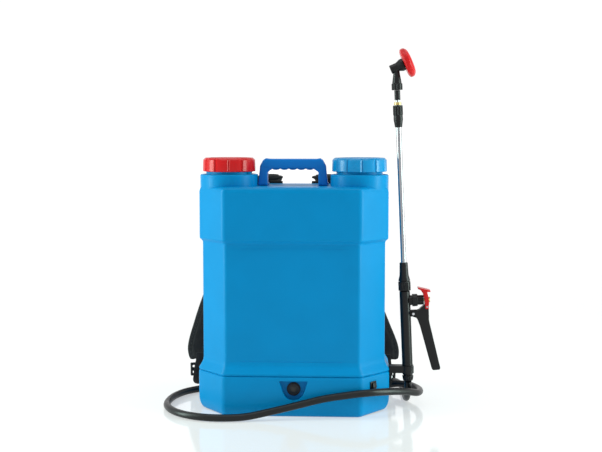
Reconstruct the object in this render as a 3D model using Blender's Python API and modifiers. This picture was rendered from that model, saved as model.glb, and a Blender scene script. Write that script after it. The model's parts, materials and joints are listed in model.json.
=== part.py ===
"""Battery backpack sprayer: a blow-moulded tank on a base housing, with a hose, a trigger gun and a lance.

Metres, +Z up. The origin is the centre of the flat underside, the front faces -Y and +X is on the gun's side.
"""

import math

import bmesh
import bpy
from mathutils import Vector

# ---- driving dimensions --------------------------------------------------------------------------
GAP = 0.0004  # between pieces that touch
WALL = 0.0028  # blow-moulded wall

HALF_WIDTH = 0.1878  # base section, widest
FRONT_FLAT = 0.1332  # half width of the flat front face
FRONT_Y = -0.0960
CHAMFER_Y = -0.0340  # where the front chamfers meet the sides
BACK_Y = 0.0950
FRONT_RADIUS = 0.016
SIDE_RADIUS = 0.012
BACK_RADIUS = 0.030
CORNER_STEPS = 3

BASE_TOP = 0.0775
TANK_BOTTOM = BASE_TOP + GAP
LEDGE_Z = 0.3330  # underside of the wider upper section
TANK_TOP = 0.4410
MID_INSET = 0.0092
UPPER_INSET = 0.0030
BOTTOM_ROUND = 0.015

TURRET_X = 0.1280
TURRET_Y = -0.0100
TURRET_RADIUS = 0.0568
TURRET_TOP = 0.4637
NECK_RADIUS = 0.0452
NECK_BORE = 0.0405
NECK_TOP = 0.4860
CAP_BOTTOM = 0.4690
CAP_TOP = 0.4958
CAP_RADII = {"red": 0.0518, "blue": 0.0538}
CAP_SIDES = {"red": -1, "blue": 1}

HANDLE_X = -0.0022
HANDLE_Y = -0.0050
HANDLE_DEPTH = 0.028
HANDLE_FOOT_X = 0.0592
FOOT_SCREW_Y = 0.0200

BOTTOM_HEIGHT = 0.026  # of the rounding under the base
OUTLET_XY = (0.0600, 0.0300)  # the tank's outlet, above the pump
PORT_X = 0.0030
PORT_Z = 0.0525
PAN_Y = FRONT_Y + 0.0130  # floor of the front recess
COVER_THICK = 0.0030
COVER_SCREW_X = 0.1600
COVER_SCREW_Y = 0.0150
SWITCH_TURN = math.atan2(CHAMFER_Y - FRONT_Y, HALF_WIDTH - FRONT_FLAT)
SWITCH_X = 0.1552
SWITCH_AT = Vector((SWITCH_X, FRONT_Y + (SWITCH_X - FRONT_FLAT) * math.tan(SWITCH_TURN), 0.0555))
CHAMFER_NORMAL = Vector((math.sin(SWITCH_TURN), -math.cos(SWITCH_TURN), 0))

ANCHOR_X = 0.0560
ANCHOR_Z = 0.4080
ANCHOR_SCREW_Z = 0.4040
LUG_X = 0.1480
LUG_Z = 0.0450
PAD_WIDTH = 0.056
PAD_THICK = 0.013
WEB_WIDTH = 0.025
WEB_THICK = 0.0022
PAD_ROUTES = {
    "left": [
        (0.0560, 0.0985, 0.4521),
        (0.0570, 0.1130, 0.4528),
        (0.0600, 0.1330, 0.4490),
        (0.0670, 0.1480, 0.4320),
        (0.0850, 0.1560, 0.3900),
        (0.1200, 0.1640, 0.3250),
        (0.1560, 0.1690, 0.2500),
        (0.1830, 0.1680, 0.1850),
        (0.2000, 0.1610, 0.1330),
        (0.2115, 0.1520, 0.0880),
        (0.2060, 0.1460, 0.0650),
    ],
    "right": [
        (0.0560, 0.0985, 0.4521),
        (0.0570, 0.1130, 0.4528),
        (0.0600, 0.1330, 0.4490),
        (0.0670, 0.1480, 0.4320),
        (0.0780, 0.1560, 0.3900),
        (0.1010, 0.1640, 0.3250),
        (0.1260, 0.1690, 0.2500),
        (0.1480, 0.1680, 0.1850),
        (0.1690, 0.1610, 0.1330),
        (0.1870, 0.1520, 0.0880),
        (0.1860, 0.1460, 0.0650),
    ],
}
STRAP_SPREAD = {"left": 0.0240, "right": 0.0}  # how far the left buckle lies further out
BUCKLE_AT = (0.1895, 0.1425, 0.0405)
WEB_ROUTE = [
    (0.1842, 0.1384, 0.0760),
    (0.1852, 0.1376, 0.0600),
    (0.1876, 0.1368, 0.0405),
    (0.1886, 0.1349, 0.0250),
    (0.1882, 0.1344, 0.0185),
    (0.1800, 0.1320, 0.0245),
    (0.1630, 0.1150, 0.0292),
    (0.1510, 0.1080, 0.0312),
    (0.1485, 0.1050, 0.0338),
]
WEB_FACING = [
    (0.35, 1.0, 0.0),
    (0.35, 1.0, 0.0),
    (0.35, 1.0, 0.1),
    (0.35, 1.0, 0.1),
    (0.3, 0.8, 0.6),
    (0.2, 0.3, 1.0),
    (0.1, 0.1, 1.0),
    (0.0, 0.7, 0.7),
    (0.0, 1.0, 0.0),
]
PAD_FACING = [(0.0, 0.0, 1.0), (0.0, 0.1, 1.0), (0.15, 0.7, 0.7), (0.30, 1.0, 0.2)]  # then PAD_TURN
PAD_TURN = (0.35, 1.0, 0.0)

GUN_FOOT = Vector((0.2248, -0.0200, 0.0705))  # lower end of the grip body, on its axis
GUN_TILT = math.radians(2.57)  # the gun and lance lean towards -X
HEAD_TILT = math.radians(69.1)  # spray head's axis, from the lance's axis towards +X
NOZZLE_HEIGHT = 0.6000  # where the head's axis crosses the lance's, above GUN_FOOT
CLIP_Z = 0.0640
VALVE_Z = 0.1462  # the next heights run up the lance's axis from GUN_FOOT
PIVOT_X = 0.0150
PIVOT_Z = 0.1206
LOCK_X = 0.0420
LOCK_Z = 0.1335
LEVER_OUTLINE = [
    (0.0452, 0.1500),
    (0.0456, 0.1360),
    (0.0452, 0.1060),
    (0.0640, 0.0110),
    (0.0625, 0.0075),
    (0.0495, 0.0068),
    (0.0470, 0.0100),
    (0.0270, 0.0960),
    (0.0215, 0.1120),
    (0.0122, 0.1148),
    (0.0114, 0.1200),
    (0.0126, 0.1255),
    (0.0240, 0.1260),
    (0.0388, 0.1385),
    (0.0408, 0.1410),
    (0.0412, 0.1500),
]
LOCK_OUTLINE = [
    (0.0440, 0.1290),
    (0.0464, 0.1400),
    (0.0452, 0.1530),
    (0.0435, 0.1625),
    (0.0500, 0.1625),
    (0.0496, 0.1652),
    (0.0258, 0.1718),
    (0.0250, 0.1694),
    (0.0310, 0.1664),
    (0.0350, 0.1600),
    (0.0375, 0.1500),
    (0.0385, 0.1290),
]

HOSE_OUTLET_X = -0.0450
HOSE_OUTLET_Z = 0.0240
HOSE_RADIUS = 0.0070
HOSE_ROUTE = [
    (-0.0960, 0.1190, 0.0240),
    (-0.1180, 0.1190, 0.0225),
    (-0.1450, 0.1185, 0.0165),
    (-0.1750, 0.1150, 0.0095),
    (-0.2050, 0.1000, 0.0072),
    (-0.2330, 0.0690, 0.0072),
    (-0.2500, 0.0240, 0.0072),
    (-0.2520, -0.0330, 0.0072),
    (-0.2360, -0.0780, 0.0072),
    (-0.2060, -0.1120, 0.0072),
    (-0.1680, -0.1310, 0.0072),
    (-0.1280, -0.1355, 0.0072),
    (-0.0850, -0.1290, 0.0085),
    (-0.0400, -0.1190, 0.0160),
    (0.0100, -0.1120, 0.0270),
    (0.0600, -0.1080, 0.0390),
    (0.1080, -0.1075, 0.0470),
    (0.1460, -0.1020, 0.0505),
    (0.1860, -0.0760, 0.0475),
    (0.2190, -0.0460, 0.0410),
    (0.2430, -0.0160, 0.0320),
    (0.2510, 0.0200, 0.0270),
    (0.2480, 0.0580, 0.0235),
    (0.2350, 0.0900, 0.0220),
    (0.2100, 0.1120, 0.0200),
    (0.1750, 0.1230, 0.0120),
    (0.1380, 0.1330, 0.0075),
    (0.1120, 0.1600, 0.0072),
    (0.1130, 0.1980, 0.0072),
    (0.1430, 0.2230, 0.0072),
    (0.1800, 0.2180, 0.0072),
    (0.2080, 0.1900, 0.0072),
    (0.2200, 0.1500, 0.0072),
    (0.2230, 0.1050, 0.0072),
    (0.2240, 0.0600, 0.0075),
    (0.2245, 0.0250, 0.0120),
    (0.2250, 0.0010, 0.0250),
    (0.2253, -0.0140, 0.0420),
    (0.2255, -0.0195, 0.0560),
]

BLUE = (0.0, 0.235, 0.560)
DARK_BLUE = (0.0, 0.130, 0.420)
RED = (0.640, 0.020, 0.020)
BLACK = (0.016, 0.016, 0.018)
GREY = (0.120, 0.120, 0.125)
STEEL = (0.620, 0.620, 0.640)
BRASS = (0.560, 0.380, 0.130)
GREEN = (0.020, 0.150, 0.050)
WHITE = (0.600, 0.600, 0.580)


# ---- scene and helpers ---------------------------------------------------------------------------
def clear_scene():
    for old in list(bpy.data.objects):
        bpy.data.objects.remove(old, do_unlink=True)
    for name in ("backpack_sprayer", "cutters"):
        made = bpy.data.collections.new(name)
        bpy.context.scene.collection.children.link(made)
        COLLECTIONS[name] = made


COLLECTIONS = {}
MATERIALS = {}


def material(name, colour, roughness, metallic=0.0):
    if name not in MATERIALS:
        made = bpy.data.materials.new(name)
        made.use_nodes = True
        shader = made.node_tree.nodes["Principled BSDF"]
        shader.inputs["Base Color"].default_value = (*colour, 1.0)
        shader.inputs["Roughness"].default_value = roughness
        shader.inputs["Metallic"].default_value = metallic
        MATERIALS[name] = made
    return MATERIALS[name]


def blue_plastic():
    return material("blue_plastic", BLUE, 0.28)


def black_plastic():
    return material("black_plastic", BLACK, 0.40)


def steel():
    return material("steel", STEEL, 0.22, 1.0)


def add_object(name, data, surface, parent=None, location=(0, 0, 0), rotation=(0, 0, 0)):
    """Link an object to the sprayer's collection, or to the cutters' when it has no surface."""
    made = bpy.data.objects.new(name, data)
    made.location = location
    made.rotation_euler = rotation
    made.parent = parent
    if surface is None:
        made.hide_render = True
        made.display_type = "WIRE"
        COLLECTIONS["cutters"].objects.link(made)
    else:
        data.materials.append(surface)
        COLLECTIONS["backpack_sprayer"].objects.link(made)
    return made


def add_empty(name, location, rotation=(0, 0, 0), parent=None):
    made = bpy.data.objects.new(name, None)
    made.location = location
    made.rotation_euler = rotation
    made.parent = parent
    COLLECTIONS["backpack_sprayer"].objects.link(made)
    return made


def mesh_from(name, form):
    bmesh.ops.recalc_face_normals(form, faces=form.faces)
    data = bpy.data.meshes.new(name)
    form.to_mesh(data)
    form.free()
    return data


def box(name, size, surface, bevel=0.0, **place):
    form = bmesh.new()
    bmesh.ops.create_cube(form, size=1.0)
    bmesh.ops.scale(form, vec=size, verts=form.verts)
    made = add_object(name, mesh_from(name, form), surface, **place)
    if bevel:
        add_bevel(made, bevel)
    return made


def cylinder(name, radius, height, surface, segments=32, top_radius=None, **place):
    """A solid cylinder or cone that stands on its own origin."""
    form = bmesh.new()
    top = radius if top_radius is None else top_radius
    bmesh.ops.create_cone(form, cap_ends=True, segments=segments, radius1=radius, radius2=top, depth=height)
    bmesh.ops.translate(form, vec=(0, 0, height / 2), verts=form.verts)
    return add_object(name, mesh_from(name, form), surface, **place)


def turned(name, outline, surface, segments=24, **place):
    """Turn an outline of (radius, height) points about Z. The points run down the outer side.

    The outline is closed, apart from a stretch that would lie on the axis.
    """
    form = bmesh.new()
    points = [form.verts.new((radius, 0, height)) for radius, height in outline]
    for first, second in zip(points, points[1:] + points[:1]):
        if first.co.x or second.co.x:
            form.edges.new((first, second))
    data = bpy.data.meshes.new(name)
    form.to_mesh(data)
    form.free()
    made = add_object(name, data, surface, **place)
    screw = made.modifiers.new("turn", "SCREW")
    screw.axis = "Z"
    screw.steps = segments
    screw.render_steps = segments
    screw.use_merge_vertices = True
    screw.merge_threshold = 0.00001
    return made


def ring_outline(outer, inner, bottom, top):
    return [(outer, top), (outer, bottom), (inner, bottom), (inner, top)]


def plate(name, outlines, thickness, surface, bevel=0.0, **place):
    """A flat outline in XZ, thickened along Y. Every outline after the first is a hole."""
    data = bpy.data.curves.new(name, "CURVE")
    data.dimensions = "2D"
    data.fill_mode = "BOTH"
    data.extrude = thickness / 2
    for outline in outlines:
        spline = data.splines.new("POLY")
        spline.points.add(len(outline) - 1)
        for point, (x, z) in zip(spline.points, outline):
            point.co = (x, z, 0, 1)
        spline.use_cyclic_u = True
    made = add_object(name, data, surface, **place)
    made.rotation_euler.rotate_axis("X", math.pi / 2)
    solid = as_mesh(made)
    if bevel:
        add_bevel(solid, bevel)
    return solid


def as_mesh(curve):
    """Replace a curve object by the mesh it evaluates to, with its caps welded on."""
    bpy.context.view_layer.update()
    evaluated = curve.evaluated_get(bpy.context.evaluated_depsgraph_get())
    data = bpy.data.meshes.new_from_object(evaluated)
    form = bmesh.new()
    form.from_mesh(data)
    bmesh.ops.remove_doubles(form, verts=form.verts, dist=0.00001)
    bmesh.ops.recalc_face_normals(form, faces=form.faces)
    form.to_mesh(data)
    form.free()
    made = bpy.data.objects.new(curve.name, data)
    name = curve.name
    made.parent = curve.parent
    made.location = curve.location
    made.rotation_euler = curve.rotation_euler
    made.hide_render = curve.hide_render
    made.display_type = curve.display_type
    curve.users_collection[0].objects.link(made)
    bpy.data.objects.remove(curve, do_unlink=True)
    made.name = name
    return made


def add_bevel(target, width, segments=1):
    bevel = target.modifiers.new("round", "BEVEL")
    bevel.width = width
    bevel.segments = segments
    bevel.limit_method = "ANGLE"
    bevel.angle_limit = math.radians(40)


def cut(target, tool):
    add_boolean(target, tool, "DIFFERENCE")


def join(target, tool):
    add_boolean(target, tool, "UNION")


def add_boolean(target, tool, operation):
    step = target.modifiers.new(operation.lower(), "BOOLEAN")
    step.object = tool
    step.operation = operation
    step.solver = "EXACT"


def rounded(corners, radii, steps):
    """Round each corner of a convex outline with an arc of steps + 1 points."""
    outline = []
    count = len(corners)
    for index, (corner, radius) in enumerate(zip(corners, radii)):
        here = Vector(corner)
        back = (Vector(corners[index - 1]) - here).normalized()
        ahead = (Vector(corners[(index + 1) % count]) - here).normalized()
        half = back.angle(ahead) / 2
        centre = here + (back + ahead).normalized() * radius / math.sin(half)
        start = here + back * radius / math.tan(half) - centre
        end = here + ahead * radius / math.tan(half) - centre
        for step in range(steps + 1):
            spoke = start.slerp(end, step / steps)
            outline.append(centre + spoke.normalized() * radius)
    return outline


def body_section(side_inset, face_inset):
    """The body's plan, counterclockwise from the front left, pulled in by an inset."""
    half_width = HALF_WIDTH - side_inset
    flat = FRONT_FLAT - 0.45 * face_inset
    front = FRONT_Y + face_inset
    side = CHAMFER_Y + 0.38 * face_inset
    back = BACK_Y - face_inset
    corners = [(-flat, front), (flat, front), (half_width, side)]
    corners += [(half_width, back), (-half_width, back), (-half_width, side)]
    shrink = 0.6 * face_inset
    radii = [FRONT_RADIUS, FRONT_RADIUS, SIDE_RADIUS, BACK_RADIUS, BACK_RADIUS, SIDE_RADIUS]
    return rounded(corners, [max(0.004, radius - shrink) for radius in radii], CORNER_STEPS)


def loft(name, levels, surface, **place):
    """A closed solid through plan sections, given as (height, side inset, face inset)."""
    form = bmesh.new()
    rings = []
    for height, side_inset, face_inset in levels:
        section = body_section(side_inset, face_inset)
        rings.append([form.verts.new((point.x, point.y, height)) for point in section])
    count = len(rings[0])
    for low, high in zip(rings, rings[1:]):
        for index in range(count):
            after = (index + 1) % count
            form.faces.new((low[index], low[after], high[after], high[index]))
    form.faces.new(list(reversed(rings[0])))
    form.faces.new(rings[-1])
    return add_object(name, mesh_from(name, form), surface, **place)


def smooth_route(points, per_span):
    """Points on a Catmull-Rom curve through the given ones."""
    route = []
    ends = [points[0] * 2 - points[1]] + points + [points[-1] * 2 - points[-2]]
    for index in range(1, len(ends) - 2):
        before, start, end, after = ends[index - 1 : index + 3]
        for step in range(per_span):
            part = step / per_span
            slope_in = (end - before) / 2
            slope_out = (after - start) / 2
            curve = (2 * part**3 - 3 * part**2 + 1) * start + (part**3 - 2 * part**2 + part) * slope_in
            curve += (3 * part**2 - 2 * part**3) * end + (part**3 - part**2) * slope_out
            route.append(curve)
    route.append(points[-1])
    return route


def tube(name, points, radius, surface, resolution=2, **place):
    data = bpy.data.curves.new(name, "CURVE")
    data.dimensions = "3D"
    data.bevel_depth = radius
    data.bevel_resolution = resolution
    data.use_fill_caps = True
    spline = data.splines.new("POLY")
    spline.points.add(len(points) - 1)
    for point, place_at in zip(spline.points, points):
        point.co = (*place_at, 1)
    return add_object(name, data, surface, **place)


def strap(name, points, facings, width, thickness, surface, taper=1.0):
    """A flat band swept along a route. Its broad side faces the given direction at each point.

    taper is the width at the far end as a share of the width at the start.
    """
    route = smooth_route([Vector(point) for point in points], 2)
    facings = smooth_route([Vector(facing) for facing in facings], 2)
    form = bmesh.new()
    rings = []
    for index, (centre, facing) in enumerate(zip(route, facings)):
        ahead = route[min(index + 1, len(route) - 1)]
        behind = route[max(index - 1, 0)]
        along = (ahead - behind).normalized()
        across = along.cross(facing).normalized()
        outward = across.cross(along).normalized()
        share = 1 + (taper - 1) * index / (len(route) - 1)
        half = across * width * share / 2
        lift = outward * thickness / 2
        edge = lift * 0.45
        offsets = (half * 0.9 + lift, half + edge, half - edge, half * 0.9 - lift)
        offsets += (-half * 0.9 - lift, -half - edge, -half + edge, -half * 0.9 + lift)
        rings.append([form.verts.new(centre + offset) for offset in offsets])
    count = len(rings[0])
    for low, high in zip(rings, rings[1:]):
        for index in range(count):
            after = (index + 1) % count
            form.faces.new((low[index], low[after], high[after], high[index]))
    form.faces.new(list(reversed(rings[0])))
    form.faces.new(rings[-1])
    bmesh.ops.triangulate(form, faces=form.faces)
    return add_object(name, mesh_from(name, form), surface)


# ---- tank and base -------------------------------------------------------------------------------
def make_tank():
    low = TANK_BOTTOM
    levels = [
        (low, 0.0018, 0.0018),
        (low + 0.0018, 0.0, 0.0),
        (low + 0.0040, 0.0002, 0.0002),
        (low + 0.0185, MID_INSET - 0.0008, MID_INSET - 0.0008),
        (low + 0.0240, MID_INSET, MID_INSET),
        (LEDGE_Z, MID_INSET, MID_INSET),
        (LEDGE_Z + 0.0060, UPPER_INSET + 0.0006, UPPER_INSET + 0.0006),
        (LEDGE_Z + 0.0080, UPPER_INSET, UPPER_INSET),
        (TANK_TOP - 0.0080, UPPER_INSET, UPPER_INSET),
        (TANK_TOP - 0.0022, UPPER_INSET + 0.0026, UPPER_INSET + 0.0026),
        (TANK_TOP, UPPER_INSET + 0.0085, UPPER_INSET + 0.0085),
    ]
    tank = loft("tank", levels, blue_plastic())
    inside = [
        (low + WALL, MID_INSET + WALL + 0.004, MID_INSET + WALL + 0.004),
        (low + WALL + 0.0040, MID_INSET + WALL, MID_INSET + WALL),
        (LEDGE_Z + WALL, MID_INSET + WALL, MID_INSET + WALL),
        (LEDGE_Z + WALL + 0.0060, UPPER_INSET + WALL, UPPER_INSET + WALL),
        (TANK_TOP - 0.0080, UPPER_INSET + WALL, UPPER_INSET + WALL),
        (TANK_TOP - WALL, UPPER_INSET + WALL + 0.0060, UPPER_INSET + WALL + 0.0060),
    ]
    hollow = loft("tank_hollow", inside, None)
    for side in (-1, 1):
        place = {"location": (side * TURRET_X, TURRET_Y, 0)}
        turret = [
            (0, TURRET_TOP),
            (TURRET_RADIUS - 0.0030, TURRET_TOP),
            (TURRET_RADIUS - 0.0008, TURRET_TOP - 0.0010),
            (TURRET_RADIUS, TURRET_TOP - 0.0032),
            (TURRET_RADIUS, TANK_TOP - 0.0130),
            (0, TANK_TOP - 0.0130),
        ]
        join(tank, turned(f"turret_{side}", turret, None, 28, **place))
        neck = [
            (0, NECK_TOP),
            (NECK_RADIUS, NECK_TOP),
            (NECK_RADIUS, TURRET_TOP - 0.005),
            (0, TURRET_TOP - 0.005),
        ]
        join(tank, turned(f"neck_{side}", neck, None, 28, **place))
        room = [
            (0, NECK_TOP + 0.010),
            (NECK_BORE, NECK_TOP + 0.010),
            (NECK_BORE, TURRET_TOP - WALL),
            (TURRET_RADIUS - WALL, TURRET_TOP - WALL),
            (TURRET_RADIUS - WALL, TANK_TOP - 0.0200),
            (0, TANK_TOP - 0.0200),
        ]
        join(hollow, turned(f"turret_room_{side}", room, None, 24, **place))
    cut(tank, hollow)
    cut(tank, cylinder("outlet_hole", 0.0100, 0.030, None, 20, location=(*OUTLET_XY, low - 0.010)))
    for side in (-1, 1):
        hole_at = (HANDLE_X + side * HANDLE_FOOT_X, HANDLE_Y + FOOT_SCREW_Y, TANK_TOP - 0.010)
        cut(tank, cylinder(f"handle_hole_{side}", 0.0028, 0.020, None, 12, location=hole_at))
        place = {
            "location": (side * ANCHOR_X, BACK_Y - 0.020, ANCHOR_SCREW_Z), "rotation": (-math.pi / 2, 0, 0)
        }
        cut(tank, cylinder(f"anchor_hole_{side}", 0.0028, 0.040, None, 12, **place))
    return tank


def base_levels(wall):
    """The base's outer levels, or its inner ones when a wall is given."""
    levels = []
    for step in range(5):
        height = BOTTOM_HEIGHT * step / 4
        share = 1 - math.sqrt(1 - (1 - step / 4) ** 2)
        levels.append((height, BOTTOM_ROUND * share + wall, BOTTOM_ROUND * 0.45 * share + wall))
    return levels


def recess_outline(grow):
    """The shield shape of the front recess: a flat top, leaning sides and a round bottom."""
    top = PORT_Z + 0.0175 + grow
    half_top = 0.0280 + grow
    half_low = 0.0185 + grow
    low = PORT_Z - 0.0060
    outline = [(half_top, top), (-half_top, top), (-half_low - 0.0020, low)]
    for step in range(1, 8):
        angle = math.pi + math.pi * step / 8
        outline.append((half_low * math.cos(angle), low - 0.002 + (0.0125 + grow) * math.sin(angle)))
    outline.append((half_low + 0.0020, low))
    return outline


def make_base_housing():
    top = BASE_TOP
    levels = base_levels(0.0)
    levels += [(top - 0.0022, 0.0, 0.0), (top, 0.0018, 0.0018)]
    base = loft("base_housing", levels, blue_plastic())
    inner = base_levels(WALL)
    inner[0] = (-0.010, *inner[0][1:])
    inner += [(top - WALL, WALL, WALL)]
    room = loft("base_room", inner, None)
    pan = plate(
        "recess_pan", [recess_outline(WALL)], 0.030, None, location=(PORT_X, PAN_Y + WALL - 0.015, 0)
    )
    cut(room, pan)
    cut(base, room)
    cut(base, plate("recess", [recess_outline(0.0)], 0.030, None, location=(PORT_X, PAN_Y - 0.015, 0)))
    back_turn = (-math.pi / 2, 0, 0)
    cut(
        base,
        cylinder(
            "port_hole",
            0.0085,
            0.020,
            None,
            20,
            location=(PORT_X, PAN_Y - 0.008, PORT_Z),
            rotation=back_turn,
        ),
    )
    cut(base, cylinder("deck_hole", 0.0140, 0.020, None, 20, location=(*OUTLET_XY, top - 0.010)))
    cut(
        base,
        box("switch_hole", (0.0134, 0.030, 0.0194), None, location=SWITCH_AT, rotation=(0, 0, SWITCH_TURN)),
    )
    outlet_at = (HOSE_OUTLET_X, BACK_Y - 0.010, HOSE_OUTLET_Z)
    cut(base, cylinder("hose_outlet_hole", 0.0082, 0.020, None, 20, location=outlet_at, rotation=back_turn))
    for side in (-1, 1):
        lug = box(
            f"lug_{side}", (0.034, 0.014, 0.012), None, location=(side * LUG_X, BACK_Y + 0.004, LUG_Z)
        )
        join(base, lug)
        slot = box(
            f"lug_slot_{side}",
            (0.027, 0.0045, 0.020),
            None,
            location=(side * LUG_X, BACK_Y + 0.0055, LUG_Z),
        )
        cut(base, slot)
        post_at = (side * COVER_SCREW_X, COVER_SCREW_Y, COVER_THICK + GAP)
        join(base, cylinder(f"post_{side}", 0.0055, top - 0.0045, None, 12, location=post_at))
        cut(base, cylinder(f"post_hole_{side}", 0.0021, 0.020, None, 12, location=post_at))
    clip_at = (HALF_WIDTH - 0.010, GUN_FOOT.y, CLIP_Z)
    cut(
        base, cylinder("clip_hole", 0.0026, 0.020, None, 12, location=clip_at, rotation=(0, math.pi / 2, 0))
    )
    return base


def make_base_cover():
    rim = WALL + GAP
    side = BOTTOM_ROUND + rim
    face = BOTTOM_ROUND * 0.45 + rim
    cover = loft("base_cover", [(0.0, side, face), (COVER_THICK, side, face)], black_plastic())
    for sign, name in ((-1, "left"), (1, "right")):
        place = {"location": (sign * COVER_SCREW_X, COVER_SCREW_Y, -0.001)}
        cut(cover, cylinder(f"cover_hole_{name}", 0.0024, 0.010, None, 12, **place))
        cut(cover, cylinder(f"cover_sink_{name}", 0.0046, 0.0026, None, 12, **place))
        screw = [
            (0, 0.0120), (0.0018, 0.0120), (0.0018, 0.0012), (0.0042, 0.0012), (0.0042, 0.0002), (0, 0.0002)
        ]
        turned(f"cover_screw_{name}", screw, steel(), 12, location=(sign * COVER_SCREW_X, COVER_SCREW_Y, 0))


def make_power_parts():
    charge = material("battery_case", GREY, 0.55)
    battery = box("battery", (0.151, 0.098, 0.064), charge, 0.002, location=(-0.0720, 0.0100, 0.0362))
    for side in (-1, 1):
        terminal = box(
            f"terminal_{side}",
            (0.008, 0.006, 0.008),
            None,
            location=(-0.0720 + side * 0.055, -0.036, 0.069),
        )
        join(battery, terminal)
    board = box(
        "control_board",
        (0.052, 0.0016, 0.040),
        material("board", GREEN, 0.5),
        location=(-0.1080, -0.0660, 0.0330),
    )
    for index, (x, z) in enumerate(((-0.124, 0.040), (-0.108, 0.026), (-0.094, 0.042))):
        join(board, box(f"chip_{index}", (0.010, 0.006, 0.009), None, location=(x, -0.0632, z)))


def make_pump():
    along_x = (0, math.pi / 2, 0)
    case = [(0, 0.060), (0.009, 0.060), (0.009, 0.056), (0.0185, 0.056), (0.0185, 0), (0, 0)]
    turned("pump_motor", case, steel(), 20, location=(0.0925, OUTLET_XY[1], 0.0290), rotation=along_x)
    head = box(
        "pump_head", (0.060, 0.058, 0.046), black_plastic(), 0.003, location=(0.0620, OUTLET_XY[1], 0.0265)
    )
    join(head, cylinder("inlet_stub", 0.0048, 0.018, None, 16, location=(*OUTLET_XY, 0.0400)))
    stub_at = (0.0400, OUTLET_XY[1] + 0.020, HOSE_OUTLET_Z)
    join(
        head,
        cylinder("outlet_stub", 0.0030, 0.018, None, 16, location=stub_at, rotation=(-math.pi / 2, 0, 0)),
    )
    clear = material("clear_hose", WHITE, 0.25)
    turned(
        "suction_tube", ring_outline(0.0078, 0.0052, 0.0500, 0.0720), clear, 16, location=(*OUTLET_XY, 0)
    )
    seat = TANK_BOTTOM + WALL + GAP  # the tank's floor, inside
    rim = seat + 0.003
    outlet = [
        (0.0105, rim), (0.0160, rim), (0.0160, seat), (0.0095, seat), (0.0095, 0.0735), (0.0048, 0.0735)
    ]
    outlet += [(0.0048, 0.0610), (0.0030, 0.0610), (0.0030, 0.0740), (0.0060, 0.0780), (0.0060, rim)]
    turned("tank_outlet", outlet, black_plastic(), 16, location=(*OUTLET_XY, 0))
    foot = rim + GAP
    screen = [(0, foot + 0.016), (0.010, foot + 0.013), (0.0150, foot), (0.0135, foot)]
    screen += [(0.009, foot + 0.0115), (0, foot + 0.0142)]
    turned("tank_outlet_strainer", screen, material("strainer", WHITE, 0.5), 16, location=(*OUTLET_XY, 0))


def make_hose_outlet():
    """An elbow through the back wall whose barb points to -X, and the tube that feeds it."""
    elbow_y = HOSE_ROUTE[0][1]
    start = Vector((HOSE_OUTLET_X, BACK_Y - 0.0140, HOSE_OUTLET_Z))
    route = [start, Vector((HOSE_OUTLET_X, BACK_Y + 0.010, HOSE_OUTLET_Z))]
    bend = 0.0140
    for step in range(1, 6):
        angle = math.pi / 2 * step / 5
        x = HOSE_OUTLET_X - bend * (1 - math.cos(angle))
        route.append(Vector((x, BACK_Y + 0.010 + bend * math.sin(angle), HOSE_OUTLET_Z)))
    route.append(Vector((HOSE_ROUTE[0][0] + GAP, elbow_y, HOSE_OUTLET_Z)))
    elbow = as_mesh(tube("hose_outlet", route, 0.0075, black_plastic(), 3))
    turn = (-math.pi / 2, 0, 0)
    place = {"location": (HOSE_OUTLET_X, BACK_Y + GAP, HOSE_OUTLET_Z), "rotation": turn}
    join(elbow, cylinder("outlet_flange", 0.0130, 0.0040, None, 24, **place))
    tail = (HOSE_ROUTE[0][0] + 0.018, elbow_y, HOSE_OUTLET_Z)
    join(
        elbow,
        cylinder("outlet_collar", 0.0095, 0.014, None, 20, location=tail, rotation=(0, -math.pi / 2, 0)),
    )
    feed = [
        Vector((0.0400, OUTLET_XY[1] + 0.0388, HOSE_OUTLET_Z)),
        Vector((0.0385, 0.0750, HOSE_OUTLET_Z)),
        Vector((0.0260, 0.0820, HOSE_OUTLET_Z)),
        Vector((-0.0200, 0.0780, HOSE_OUTLET_Z)),
        Vector((-0.0350, 0.0770, HOSE_OUTLET_Z)),
    ]
    feed = smooth_route(feed, 3)
    tube("outlet_tube", feed, 0.0045, material("clear_hose", WHITE, 0.25), 2)


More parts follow.
